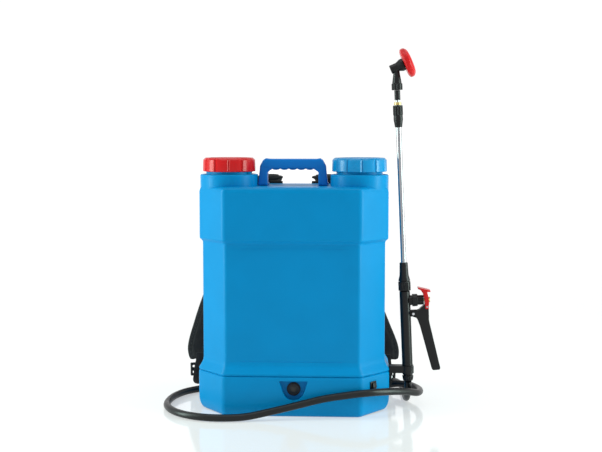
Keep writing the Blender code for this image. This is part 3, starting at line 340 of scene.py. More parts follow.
def woven(name, colour, across, along, depth):
    """Woven threads in the band's own coordinates, in metres across and along."""
    surface = Surface(name, colour, 0.82, Sheen_Weight=0.06, Sheen_Roughness=0.5)
    band = surface.node("ShaderNodeUVMap").outputs["UV"]
    warp = surface.wave(band, across, "X")
    weft = surface.wave(band, along, "Y")
    cross = surface.node("ShaderNodeMath", operation="MULTIPLY")
    surface.link(warp, cross.inputs[0])
    surface.link(weft, cross.inputs[1])
    surface.vary_colour(cross.outputs["Value"], 0.65, 1.5)
    surface.vary_roughness(surface.noise(90.0, 3.0), 0.08)
    surface.bump(cross.outputs["Value"], depth)
    surface.bump(surface.noise(700.0, 3.0), depth * 0.5)
    return surface.made


BLUE = plastic("tank_blue", (0.000, 0.245, 0.560), 0.36, 0.00001, 0.03, 0.0007, Specular_IOR_Level=0.10)
CAP_BLUE = plastic("cap_blue", (0.000, 0.245, 0.550), 0.24, 0.00001, Specular_IOR_Level=0.30)
RED = plastic("cap_red", (0.600, 0.006, 0.008), 0.24, 0.000001, Specular_IOR_Level=0.25)
DARK_BLUE = plastic("handle_blue", (0.000, 0.190, 0.620), 0.36, 0.00002, Specular_IOR_Level=0.20)
BLACK = plastic("black_plastic", (0.006, 0.006, 0.007), 0.40, 0.00003, 0.15, Specular_IOR_Level=0.25)
GUN_BLACK = plastic("gun_black", (0.005, 0.005, 0.006), 0.32, 0.000004, 0.15, Specular_IOR_Level=0.25)
RUBBER = plastic("hose_rubber", (0.005, 0.006, 0.007), 0.34, 0.00001, 0.2, 0.0001, Specular_IOR_Level=0.30)
SOFT_RUBBER = plastic("soft_rubber", (0.012, 0.012, 0.012), 0.62, 0.00008, 0.15)
WHITE = plastic("strainer_white", (0.70, 0.70, 0.66), 0.45, 0.00005)
CLEAR = plastic("clear_tube", (0.62, 0.64, 0.62), 0.20, 0.00002, Transmission_Weight=0.6)
CASE = plastic("battery_case", (0.060, 0.060, 0.066), 0.50, 0.00006)
BOARD = plastic("board_green", (0.010, 0.120, 0.040), 0.40, 0.00004, 0.2)
STAINLESS = metal("stainless", (0.34, 0.35, 0.37), 0.18, (1, 1, 0.02), 160.0)
STEEL = metal("zinc_steel", (0.56, 0.57, 0.60), 0.28)
BRASS = metal("brass", (0.55, 0.42, 0.16), 0.24)
WEBBING = woven("webbing", (0.008, 0.008, 0.009), 260.0, 190.0, 0.0003)
THREAD = plastic("thread", (0.030, 0.030, 0.032), 0.60, 0.00002, 0.2)
PADDING = woven("pad_fabric", (0.007, 0.007, 0.008), 150.0, 150.0, 0.0005)

SLOT_SURFACES = {
    "tank_blue": BLUE,
    "cap_red": RED,
    "cap_blue": CAP_BLUE,
    "handle_blue": DARK_BLUE,
    "black_plastic": BLACK,
    "gun_black": GUN_BLACK,
    "red_plastic": RED,
    "stainless": STAINLESS,
    "steel": STEEL,
    "brass": BRASS,
    "hose_rubber": RUBBER,
    "soft_rubber": SOFT_RUBBER,
    "clear_tube": CLEAR,
    "strainer_white": WHITE,
    "battery_case": CASE,
    "board_green": BOARD,
    "webbing": WEBBING,
    "pad_fabric": PADDING,
}
SLOT_OF = {part["node"]: part["material_slot"] for part in frame["record"]["subparts"]}
BODY_OF = {node: body for body, nodes in frame["record"]["behaviour"]["bodies"].items() for node in nodes}


def paint_cad_nodes():
    for name, node in frame["nodes"].items():
        for slot in node.material_slots:
            slot.material = SLOT_SURFACES[SLOT_OF[name]]
        if not node.material_slots:
            node.data.materials.append(SLOT_SURFACES[SLOT_OF[name]])


# ---- mesh helpers --------------------------------------------------------------------------------
def to_object(name, form, surface, place=STAY, sharp=32):
    """Finish a mesh in the sprayer's frame, smooth apart from its sharp edges."""
    bmesh.ops.remove_doubles(form, verts=form.verts, dist=0.000005)
    bmesh.ops.recalc_face_normals(form, faces=form.faces)
    data = bpy.data.meshes.new(name)
    form.to_mesh(data)
    form.free()
    data.transform(place)
    data.shade_smooth()
    data.set_sharp_from_angle(angle=math.radians(sharp))
    made = bpy.data.objects.new(name, data)
    bpy.context.scene.collection.objects.link(made)
    if surface is not None:
        data.materials.append(surface)
    return made


def stand_in(piece, node, *more):
    """The piece takes a CAD node's body and its place; the CAD node is hidden."""
    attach(piece, BODY_OF[node])
    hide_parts(node, *more)
    return piece


def detail(piece, node):
    """An added piece that moves with a CAD node's body."""
    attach(piece, BODY_OF[node])
    return piece


def soften(outline, radius, closed, steps=4):
    """Round an outline's corners with short curves."""
    result = []
    count = len(outline)
    for index, point in enumerate(outline):
        here = Vector(point)
        if not closed and index in (0, count - 1):
            result.append(here)
            continue
        back = Vector(outline[index - 1]) - here
        ahead = Vector(outline[(index + 1) % count]) - here
        reach = min(radius, 0.45 * back.length, 0.45 * ahead.length)
        start = here + back.normalized() * reach
        end = here + ahead.normalized() * reach
        for step in range(steps + 1):
            part = step / steps
            result.append((1 - part) ** 2 * start + 2 * part * (1 - part) * here + part**2 * end)
    return result


def groove(angle, ribs, share):
    """1 in the middle of a groove, falling smoothly to 0 at its edges."""
    phase = (angle * ribs / (2 * math.pi)) % 1.0
    off = min(phase, 1.0 - phase) / (share / 2)
    return 0.0 if off >= 1 else 0.5 + 0.5 * math.cos(math.pi * off)


def skin(form, rings, closed):
    """Faces between rings of points. A ring of one point is a pole."""
    pairs = list(zip(rings, rings[1:]))
    if closed:
        pairs.append((rings[-1], rings[0]))
    for low, high in pairs:
        count = max(len(low), len(high))
        for index in range(count):
            after = (index + 1) % count
            corners = [
                low[index % len(low)],
                low[after % len(low)],
                high[after % len(high)],
                high[index % len(high)],
            ]
            corners = list(dict.fromkeys(corners))
            if len(corners) > 2:
                form.faces.new(corners)


def turned(name, outline, surface, place=STAY, segments=72, rounding=0.0006, ribs=0, share=0.5):
    """Turn an outline of (radius, height, groove depth) about Z."""
    closed = all(point[0] > 0 for point in outline)
    profile = soften([(*point, 0.0)[:3] for point in outline], rounding, closed)
    form = bmesh.new()
    rings = []
    for radius, height, depth in profile:
        if radius < 0.00001:
            rings.append([form.verts.new((0, 0, height))])
            continue
        ring = []
        for index in range(segments):
            angle = 2 * math.pi * index / segments
            out = radius - (depth * groove(angle, ribs, share) if ribs else 0)
            ring.append(form.verts.new((out * math.cos(angle), out * math.sin(angle), height)))
        rings.append(ring)
    skin(form, rings, closed)
    return to_object(name, form, surface, place)


def plate(name, outlines, thickness, rounding, surface, place=STAY, corner=0.001):
    """A flat outline in XZ with rounded edges, thickened along Y. Later outlines are holes."""
    data = bpy.data.curves.new(name, "CURVE")
    data.dimensions = "2D"
    data.fill_mode = "BOTH"
    data.extrude = thickness / 2 - rounding
    data.bevel_depth = rounding
    data.bevel_resolution = 3
    data.offset = -rounding
    for outline in outlines:
        points = soften(outline, corner, True)
        spline = data.splines.new("POLY")
        spline.points.add(len(points) - 1)
        for point, (x, z) in zip(spline.points, points):
            point.co = (x, z, 0, 1)
        spline.use_cyclic_u = True
    curve = bpy.data.objects.new(name, data)
    bpy.context.scene.collection.objects.link(curve)
    bpy.context.view_layer.update()
    mesh = bpy.data.meshes.new_from_object(curve.evaluated_get(bpy.context.evaluated_depsgraph_get()))
    bpy.data.objects.remove(curve, do_unlink=True)
    form = bmesh.new()
    form.from_mesh(mesh)
    bpy.data.meshes.remove(mesh)
    return to_object(name, form, surface, place @ Matrix.Rotation(math.pi / 2, 4, "X"))


def block(name, size, rounding, surface, place=STAY):
    """A box with rounded edges."""
    form = bmesh.new()
    bmesh.ops.create_cube(form, size=1.0)
    bmesh.ops.scale(form, vec=size, verts=form.verts)
    if rounding:
        bmesh.ops.bevel(form, geom=form.edges, offset=rounding, segments=3, profile=0.5, affect="EDGES")
    return to_object(name, form, surface, place)


def rod(radius, low, high, segments=48, place=STAY):
    """A cylinder that cuts or joins another piece."""
    outline = [(0, high), (radius, high), (radius, low), (0, low)]
    return turned("tool", outline, None, place, segments, 0.0)


def combine(target, tool, operation):
    """Apply a Boolean and drop the tool."""
    step = target.modifiers.new(operation.lower(), "BOOLEAN")
    step.object = tool
    step.operation = operation
    step.solver = "EXACT"
    bpy.context.view_layer.update()
    data = bpy.data.meshes.new_from_object(target.evaluated_get(bpy.context.evaluated_depsgraph_get()))
    old = target.data
    target.modifiers.clear()
    target.data = data
    data.name = target.name
    bpy.data.meshes.remove(old)
    bpy.data.objects.remove(tool, do_unlink=True)


def cut(target, tool):
    combine(target, tool, "DIFFERENCE")


def join(target, tool):
    combine(target, tool, "UNION")


def moved(point):
    return Matrix.Translation(point)


def smooth(target, sharp=34):
    """Smooth shading on what the Booleans left, apart from its sharp edges."""
    target.data.shade_smooth()
    target.data.set_sharp_from_angle(angle=math.radians(sharp))


def smooth_route(points, per_span):
    """Points on a Catmull-Rom curve through the given ones."""
    points = [Vector(point) for point in points]
    route = []
    ends = [points[0] * 2 - points[1]] + points + [points[-1] * 2 - points[-2]]
    for index in range(1, len(ends) - 2):
        before, start, end, after = ends[index - 1 : index + 3]
        for step in range(per_span):
            part = step / per_span
            curve = (2 * part**3 - 3 * part**2 + 1) * start + (3 * part**2 - 2 * part**3) * end
            curve += (part**3 - 2 * part**2 + part) * (end - before) / 2
            route.append(curve + (part**3 - part**2) * (after - start) / 2)
    route.append(points[-1])
    return route


def band(name, points, facings, width, section, surface, per_span=8):
    """A strap swept along a route, its face towards the facings.

    section(share, run) gives the loop of (side, lift) there: side is -1 to 1 across the width and lift is
    in metres off the middle. share is 0 to 1 along the strap and run is metres from its start. UVs hold
    metres across and along, for the weave.
    """
    route = smooth_route(points, per_span)
    facings = smooth_route(facings, per_span)
    form = bmesh.new()
    uv_layer = form.loops.layers.uv.new("band")
    rings = []
    run = 0.0
    runs = []
    for index, (centre, facing) in enumerate(zip(route, facings)):
        ahead = route[min(index + 1, len(route) - 1)]
        behind = route[max(index - 1, 0)]
        along = (ahead - behind).normalized()
        across = along.cross(facing).normalized()
        outward = across.cross(along).normalized()
        if index:
            run += (centre - route[index - 1]).length
        runs.append(run)
        offsets = section(index / (len(route) - 1), run)
        rings.append(
            [form.verts.new(centre + across * side * width / 2 + outward * lift) for side, lift in offsets]
        )
    count = len(rings[0])
    strip = [
        width * (index if index <= count / 2 else count - index) / (count / 2) for index in range(count + 1)
    ]
    for level in range(len(rings) - 1):
        for index in range(count):
            after = (index + 1) % count
            low, high = rings[level], rings[level + 1]
            face = form.faces.new((low[index], low[after], high[after], high[index]))
            values = ((strip[index], runs[level]), (strip[index + 1], runs[level]))
            values += ((strip[index + 1], runs[level + 1]), (strip[index], runs[level + 1]))
            for loop, value in zip(face.loops, values):
                loop[uv_layer].uv = value
    form.faces.new(list(reversed(rings[0])))
    form.faces.new(rings[-1])
    return to_object(name, form, surface, sharp=50)


# ---- stage ---------------------------------------------------------------------------------------
CAMERA_AT = (0.1232, -2.1665, 0.5469)
CAMERA_TURN = (math.radians(90 - 4.913), 0, math.radians(2.916))
CAMERA_LENS = 65.8
COOL = (0.78, 1.0, 0.92)
FLOOR_REACH = 14.0
WORLD_SEEN = 1.05
WORLD_GLOSSY = 0.95
WORLD_FILL = 0.26


def make_camera():
    data = bpy.data.cameras.new("camera")
    data.lens = CAMERA_LENS
    data.sensor_width = 36.0
    camera = bpy.data.objects.new("camera", data)
    camera.location = CAMERA_AT
    camera.rotation_euler = CAMERA_TURN
    bpy.context.scene.collection.objects.link(camera)
    bpy.context.scene.camera = camera


def softbox(name, location, size, energy, colour=(1.0, 1.0, 1.0), target=(0, 0, 0.25)):
    data = bpy.data.lights.new(name, "AREA")
    data.shape = "RECTANGLE"
    data.size, data.size_y = size
    data.energy = energy
    data.color = colour
    light = bpy.data.objects.new(name, data)
    light.location = location
    light.rotation_euler = (Vector(target) - Vector(location)).to_track_quat("-Z", "Y").to_euler()
    bpy.context.scene.collection.objects.link(light)


def make_world():
    """White to the camera and nearly so in reflections, dimmer as fill light."""
    world = bpy.data.worlds.new("studio")
    world.use_nodes = True
    bpy.context.scene.world = world
    nodes = world.node_tree.nodes
    links = world.node_tree.links
    sky = nodes["Background"]
    sky.inputs["Color"].default_value = (1.0, 1.0, 1.0, 1.0)
    rays = nodes.new("ShaderNodeLightPath")
    source = None
    for ray, gain in (
        ("Is Glossy Ray", WORLD_GLOSSY - WORLD_FILL), ("Is Camera Ray", WORLD_SEEN - WORLD_FILL)
    ):
        share = nodes.new("ShaderNodeMath")
        share.operation = "MULTIPLY_ADD"
        share.inputs[1].default_value = gain
        share.inputs[2].default_value = WORLD_FILL
        links.new(rays.outputs[ray], share.inputs[0])
        if source is not None:
            links.new(source, share.inputs[2])
        source = share.outputs["Value"]
    links.new(source, sky.inputs["Strength"])


def make_floor():
    """A white, lightly glossy floor that lights itself enough to meet the white background."""
    form = bmesh.new()
    bmesh.ops.create_grid(form, x_segments=2, y_segments=2, size=FLOOR_REACH)
    surface = bpy.data.materials.new("floor")
    surface.use_nodes = True
    shader = surface.node_tree.nodes["Principled BSDF"]
    shader.inputs["Base Color"].default_value = (0.50, 0.50, 0.50, 1.0)
    shader.inputs["Roughness"].default_value = 0.09
    shader.inputs["Emission Color"].default_value = (1.0, 1.0, 1.0, 1.0)
    shader.inputs["Emission Strength"].default_value = 0.46
    floor = to_object("floor", form, surface, moved((0, 0, -0.0004)))


# ---- hose ----------------------------------------------------------------------------------------
def make_hose():
    data = bpy.data.curves.new("hose_line", "CURVE")
    data.dimensions = "3D"
    data.bevel_depth = HOSE_RADIUS
    data.bevel_resolution = 8
    data.use_fill_caps = True
    points = smooth_route(HOSE_ROUTE, 8)
    spline = data.splines.new("POLY")
    spline.points.add(len(points) - 1)
    for point, at in zip(spline.points, points):
        point.co = (*at, 1)
    data.materials.append(RUBBER)
    hose = bpy.data.objects.new("hose_line", data)
    bpy.context.scene.collection.objects.link(hose)
    stand_in(hose, "hose")


# ---- tank and base -------------------------------------------------------------------------------
def arc_corner(before, corner, after, radius, steps):
    here = Vector(corner)
    back = (Vector(before) - here).normalized()
    ahead = (Vector(after) - here).normalized()
    half = back.angle(ahead) / 2
    centre = here + (back + ahead).normalized() * radius / math.sin(half)
    start = here + back * radius / math.tan(half) - centre
    end = here + ahead * radius / math.tan(half) - centre
    return [centre + start.slerp(end, step / steps).normalized() * radius for step in range(steps + 1)]


def body_section(side_inset, face_inset, panel=0.0):
    """The body's plan as in the CAD, with a shallow panel sunk into its front."""
    half_width = HALF_WIDTH - side_inset
    flat = FRONT_FLAT - 0.45 * face_inset
    front = FRONT_Y + face_inset
    side = CHAMFER_Y + 0.38 * face_inset
    back = BACK_Y - face_inset
    corners = [(-flat, front), (flat, front), (half_width, side)]
    corners += [(half_width, back), (-half_width, back), (-half_width, side)]
    outline = []
    for index, corner in enumerate(corners):
        radius = max(0.004, CORNER_RADII[index] - 0.6 * face_inset)
        outline += arc_corner(corners[index - 1], corner, corners[(index + 1) % 6], radius, 10)
        if index == 0:
            step = 0.0011
            for x, depth in (
                (-PANEL_X - step, 0), (-PANEL_X + step, panel), (PANEL_X - step, panel), (PANEL_X + step, 0)
            ):
                outline.append(Vector((x, front + depth)))
    return outline


def loft(name, levels, surface, rounding=0.0):
    """A closed solid through plan sections, given as (height, side inset, face inset, panel depth)."""
    if rounding:
        levels = soften(levels, rounding, False, 6)
    form = bmesh.new()
    rings = []
    for height, side_inset, face_inset, panel in levels:
        section = body_section(side_inset, face_inset, panel)
        rings.append([form.verts.new((point.x, point.y, height)) for point in section])
    skin(form, rings, False)
    form.faces.new(list(reversed(rings[0])))
    form.faces.new(rings[-1])
    return to_object(name, form, surface)


def even(levels):
    """Levels whose side and face insets are the same."""
    return [(height, inset, inset, panel) for height, inset, panel in levels]


def make_tank():
    low = TANK_BOTTOM
    outer = [
        (low, 0.0022, 0),
        (low + 0.0022, 0.0, 0),
        (low + 0.0050, 0.0003, 0),
        (low + 0.0180, MID_INSET - 0.0012, 0),
    ]
    outer += [(low + 0.0260, MID_INSET, 0), (low + 0.0280, MID_INSET, PANEL_DEPTH)]
    outer += [
        (LEDGE_Z - 0.010, MID_INSET, PANEL_DEPTH), (LEDGE_Z - 0.008, MID_INSET, 0), (LEDGE_Z, MID_INSET, 0)
    ]
    outer += [(LEDGE_Z + 0.0060, UPPER_INSET + 0.0002, 0), (LEDGE_Z + 0.0085, UPPER_INSET, 0)]
    outer += [(TANK_TOP - 0.0095, UPPER_INSET, 0), (TANK_TOP - 0.0028, UPPER_INSET + 0.0024, 0)]
    outer += [(TANK_TOP, UPPER_INSET + 0.0095, 0), (TANK_TOP, UPPER_INSET + 0.0125, 0)]
    tank = loft("tank_shell", even(outer), BLUE, 0.0030)
    inside = [(low + WALL, MID_INSET + WALL + 0.004, 0), (low + WALL + 0.0040, MID_INSET + WALL, 0)]
    inside += [(LEDGE_Z + WALL, MID_INSET + WALL, 0), (LEDGE_Z + WALL + 0.0060, UPPER_INSET + WALL, 0)]
    inside += [
        (TANK_TOP - 0.0080, UPPER_INSET + WALL, 0), (TANK_TOP - WALL, UPPER_INSET + WALL + 0.0060, 0)
    ]
    hollow = loft("tank_hollow", even(inside), BLUE)
    for side in (-1, 1):
        place = moved((side * TURRET_X, TURRET_Y, 0))
        deep = TANK_TOP - 0.0130
        turret = [(0, TURRET_TOP), (NECK_RADIUS + 0.004, TURRET_TOP), (TURRET_RADIUS, TURRET_TOP)]
        turret += [(TURRET_RADIUS, deep), (0, deep)]
        join(tank, turned("turret", turret, BLUE, place, 120, 0.0032))
        neck = [(0, NECK_TOP), (NECK_RADIUS, NECK_TOP)]
        for height in (0.4820, 0.4765):
            neck += [(NECK_RADIUS, height), (NECK_RADIUS + 0.0011, height - 0.0008)]
            neck += [(NECK_RADIUS + 0.0011, height - 0.0018), (NECK_RADIUS, height - 0.0026)]
        neck += [(NECK_RADIUS, TURRET_TOP - 0.005), (0, TURRET_TOP - 0.005)]
        join(tank, turned("neck", neck, BLUE, place, 96, 0.0008))
        room = [(0, NECK_TOP + 0.010), (NECK_BORE, NECK_TOP + 0.010), (NECK_BORE, TURRET_TOP - WALL)]
        room += [
            (TURRET_RADIUS - WALL, TURRET_TOP - WALL),
            (TURRET_RADIUS - WALL, deep - 0.007),
            (0, deep - 0.007),
        ]
        join(hollow, turned("room", room, BLUE, place, 64, 0.0))
    cut(tank, hollow)
    cut(tank, rod(0.0100, low - 0.010, low + 0.020, 32, moved((*OUTLET_XY, 0))))
    smooth(tank)
    stand_in(tank, "tank")


def recess_outline(grow):
    """The shield shape of the front recess: a flat top, leaning sides and a round bottom."""
    top = PORT_Z + 0.0175 + grow
    half_top = 0.0280 + grow
    half_low = 0.0185 + grow
    low = PORT_Z - 0.0060
    outline = [(half_top, top), (-half_top, top), (-half_low - 0.0020, low)]
    for step in range(1, 16):
        angle = math.pi + math.pi * step / 16
        outline.append((half_low * math.cos(angle), low - 0.002 + (0.0125 + grow) * math.sin(angle)))
    outline.append((half_low + 0.0020, low))
    return outline


def base_levels(wall, steps=10):
    levels = []
    for step in range(steps + 1):
        height = BOTTOM_HEIGHT * step / steps
        share = 1 - math.sqrt(1 - (1 - step / steps) ** 2)
        levels.append((height, BOTTOM_ROUND * share + wall, BOTTOM_ROUND * 0.45 * share + wall, 0))
    return levels


def make_base():
    top = BASE_TOP
    rim = [
        (top - 0.0040, 0, 0, 0),
        (top - 0.0016, 0.0004, 0.0004, 0),
        (top, 0.0020, 0.0020, 0),
        (top, 0.0032, 0.0032, 0),
    ]
    base = loft("base_shell", base_levels(0.0) + rim, BLUE)
    inner = base_levels(WALL, 4)
    inner[0] = (-0.010, *inner[0][1:])
    room = loft("base_room", inner + [(top - WALL, WALL, WALL, 0)], BLUE)
    pan_at = moved((PORT_X, PAN_Y + WALL - 0.015, 0))
    cut(room, plate("pan", [recess_outline(WALL)], 0.030, 0.0002, BLUE, pan_at, 0.004))
    cut(base, room)
    cut(base, plate("recess", [recess_outline(0.0)], 0.030, 0.0016, BLUE,
                        moved((PORT_X, PAN_Y - 0.015, 0)), 0.004))
    port_at = moved((PORT_X, PAN_Y, PORT_Z)) @ ALONG_Y
    cut(base, rod(0.0085, -0.008, 0.012, 32, port_at))
    cut(base, rod(0.0140, top - 0.010, top + 0.010, 32, moved((*OUTLET_XY, 0))))
    switch_at = moved(SWITCH_AT) @ Matrix.Rotation(SWITCH_TURN, 4, "Z")
    cut(base, block("switch_hole", (0.0134, 0.030, 0.0194), 0, None, switch_at))
    outlet_at = moved((HOSE_OUTLET_X, BACK_Y, HOSE_OUTLET_Z)) @ ALONG_Y
    cut(base, rod(0.0082, -0.010, 0.010, 32, outlet_at))
    for side in (-1, 1):
        lug_at = moved((side * LUG_X, BACK_Y + 0.0038, LUG_Z))
        join(base, block("lug", (0.034, 0.0138, 0.012), 0.0015, BLUE, lug_at))
        slot_at = moved((side * LUG_X, BACK_Y + 0.0055, LUG_Z))
        cut(base, block("slot", (0.027, 0.0045, 0.020), 0, None, slot_at))
    smooth(base)
    stand_in(base, "base_housing")


# ---- caps and handle -----------------------------------------------------------------------------
def make_cap(colour, side):
    """A screw cap: twelve finger grooves in a rounded skirt, under a flat top with a raised rim."""
    radius = CAP_RADII[colour]
    bore = NECK_RADIUS + 0.0016
    ceiling = CAP_TOP - 0.0040
    deep = 0.0019
    outline = [(0, CAP_TOP - 0.0010), (radius - 0.0130, CAP_TOP - 0.0010), (radius - 0.0115, CAP_TOP)]
    outline += [(radius - 0.0050, CAP_TOP), (radius - 0.0008, CAP_TOP - 0.0042, deep)]
    outline += [(radius, CAP_BOTTOM + 0.0012, deep), (radius - 0.0006, CAP_BOTTOM, deep)]
    outline += [(bore, CAP_BOTTOM), (bore, ceiling), (0, ceiling)]
    place = moved((side * TURRET_X, TURRET_Y, 0)) @ Matrix.Rotation(math.radians(5), 4, "Z")
    surface = RED if colour == "red" else CAP_BLUE
    cap = turned(f"{colour}_cap_shell", outline, surface, place, 240, 0.0010, CAP_GROOVES, 0.2)
    stand_in(cap, f"{colour}_cap")


def make_handle():
    foot = TANK_TOP + GAP
    top = 0.4934
    under = 0.4740
    outer = 0.0685
    inner = 0.0498
    left = [(-outer, foot), (-outer + 0.0040, 0.4800), (-outer + 0.0100, 0.4910)]
    left += [(-outer + 0.0150, top + 0.0012), (-outer + 0.0220, top)]
    outline = left + [(-x, z) for x, z in reversed(left)] + [(inner, foot), (inner, 0.4680)]
    pitch = 0.0166
    for tooth in range(5):
        middle = (2 - tooth) * pitch
        for step in range(9):
            angle = math.pi * step / 8
            outline.append((middle + pitch * 0.42 * math.cos(angle), under - 0.0022 * math.sin(angle)))
    outline += [(-inner, 0.4680), (-inner, foot)]
    place = moved((HANDLE_X, HANDLE_Y, 0))
    handle = plate("handle_grip", [outline], HANDLE_DEPTH, 0.0030, DARK_BLUE, place, 0.0016)
    for side in (-1, 1):
        foot_x = HANDLE_X + side * HANDLE_FOOT_X
        tab_at = moved((foot_x, HANDLE_Y + FOOT_SCREW_Y - 0.003, foot + 0.0025))
        join(handle, block("tab", (0.0200, 0.026, 0.005), 0.0012, DARK_BLUE, tab_at))
        hole_at = moved((foot_x, HANDLE_Y + FOOT_SCREW_Y, foot))
        cut(handle, rod(0.0026, -0.002, 0.010, 24, hole_at))
    smooth(handle)
    stand_in(handle, "carry_handle")


# ---- straps --------------------------------------------------------------------------------------
def pad_section(share, run):
    """A crowned cushion with a welt at each edge, a sewn channel inside it and closed ends."""
    close = min(1.0, min(share, 1 - share) / 0.05)
    full = math.sqrt(1 - (1 - close) ** 2)
    half = PAD_THICK / 2
    top = []
    for index in range(PAD_STEPS + 1):
        side = -1 + 2 * index / PAD_STEPS
        off = abs(side)
        crown = (1 - min(1.0, off / 0.90) ** 3) ** 0.5
        channel = 0.35 * max(0.0, 1 - ((off - PAD_SEAM) / 0.07) ** 2)
        pucker = 1 + 0.05 * math.sin(2 * math.pi * run / 0.021) * math.cos(math.pi * off / 2)
        welt = 0.0018 * max(0.0, 1 - ((off - 0.95) / 0.06) ** 2)
        lift = half * (0.12 + 0.88 * crown * (0.3 + 0.7 * full) * pucker) * (1 - channel)
        top.append((side * (0.80 + 0.20 * full), max(lift, 0.0006) + welt * full))
    return top + [(side, -lift) for side, lift in reversed(top)]


def web_section(share, run):
    """Flat webbing with slightly thinner selvedges."""
    top = []
    for index in range(9):
        side = -1 + index / 4
        top.append((side, WEB_THICK / 2 * (1 - 0.35 * side**6)))
    return top + [(side, -lift) for side, lift in reversed(top)]


def make_stitches(name, points, facing, node):
    """Thread in short stitches down both sewn channels of a pad, on its front and its back."""
    route = smooth_route(points, 40)
    form = bmesh.new()
    run = 0.0
    due = 0.0
    for index in range(140, len(route) - 24):
        run += (route[index] - route[index - 1]).length
        if run < due:
            continue
        due = run + STITCH_PITCH
        along = (route[index + 1] - route[index - 1]).normalized()
        across = along.cross(Vector(facing)).normalized()
        outward = across.cross(along).normalized()
        turn = Matrix((across, along, outward)).transposed().to_4x4()
        for side in (-1, 1):
            for face in (-1, 1):
                at = route[index] + across * side * PAD_SEAM * PAD_WIDTH / 2 + outward * face * STITCH_LIFT
                shape = moved(at) @ turn @ Matrix.Diagonal((0.0007, 0.0021, 0.0006, 1))
                bmesh.ops.create_icosphere(form, subdivisions=1, radius=1.0, matrix=shape)
    data = bpy.data.meshes.new(name)
    form.to_mesh(data)
    form.free()
    data.shade_smooth()
    data.materials.append(THREAD)
    thread = bpy.data.objects.new(name, data)
    bpy.context.scene.collection.objects.link(thread)
    detail(thread, node)


def make_anchor(name, sign):
    """The moulded bracket on the tank's back that a pad's upper end loops through."""
    y = BACK_Y - UPPER_INSET + GAP
    x = sign * ANCHOR_X
    anchor = block("anchor_plate", (0.052, 0.0060, 0.048), 0.0012, BLACK, moved((x, y + 0.0030, ANCHOR_Z)))
    bar_at = moved((x, y + 0.0100, ANCHOR_Z + 0.0340))
    join(anchor, block("bar", (0.052, 0.0060, 0.0060), 0.0012, BLACK, bar_at))
    for end in (-1, 1):
        cheek_at = moved((x + end * 0.0240, y + 0.0070, ANCHOR_Z + 0.0250))
        join(anchor, block("cheek", (0.0038, 0.0118, 0.0238), 0.0008, BLACK, cheek_at))
    hole_at = moved((x, y, ANCHOR_SCREW_Z)) @ ALONG_Y
    cut(anchor, rod(0.0024, -0.010, 0.020, 24, hole_at))
    smooth(anchor)
    anchor.name = f"anchor_{name}"
    stand_in(anchor, f"strap_anchor_{name}")


def make_strap(name, sign):
    spread = STRAP_SPREAD[name]
    facing = (sign * PAD_TURN[0], PAD_TURN[1], PAD_TURN[2])
    points = [(sign * x, y, z) for x, y, z in PAD_TOP + PAD_ROUTES[name]]
    turns = PAD_FACING + [PAD_TURN] * (len(points) - len(PAD_FACING))
    turns = [(sign * x, y, z) for x, y, z in turns]
    pad = band(f"pad_{name}", points, turns, PAD_WIDTH * 0.95, pad_section, PADDING, 12)
    stand_in(pad, f"strap_pad_{name}")
    make_stitches(f"pad_stitches_{name}", points, facing, f"strap_pad_{name}")
    reach = BUCKLE_AT[0] - LUG_X
    route = [(sign * (x + spread * (x - LUG_X) / reach), y, z) for x, y, z in WEB_ROUTE]
    facings = [(sign * x, y, z) for x, y, z in WEB_FACING]
    web = band(f"web_{name}", route, facings, WEB_WIDTH, web_section, WEBBING, 10)
    stand_in(web, f"strap_web_{name}")
    at = Vector((sign * (BUCKLE_AT[0] + spread), BUCKLE_AT[1], BUCKLE_AT[2]))
    turn = Matrix.Rotation(sign * math.radians(-19), 4, "Z") @ Matrix.Rotation(math.radians(-6), 4, "X")
    place = moved(at) @ turn
    buckle = block(f"buckle_{name}", (0.036, 0.0060, 0.028), 0.0018, BLACK, place)
    for row in (-1, 1):
        slot_at = place @ moved((0, 0, row * 0.0062))
        cut(buckle, block("slot", (0.0275, 0.020, 0.0050), 0.0006, BLACK, slot_at))
    smooth(buckle)
    stand_in(buckle, f"strap_buckle_{name}")


# ---- gun and lance -------------------------------------------------------------------------------
def ring(outer, inner, low, high):
    return [(outer, high), (outer, low), (inner, low), (inner, high)]


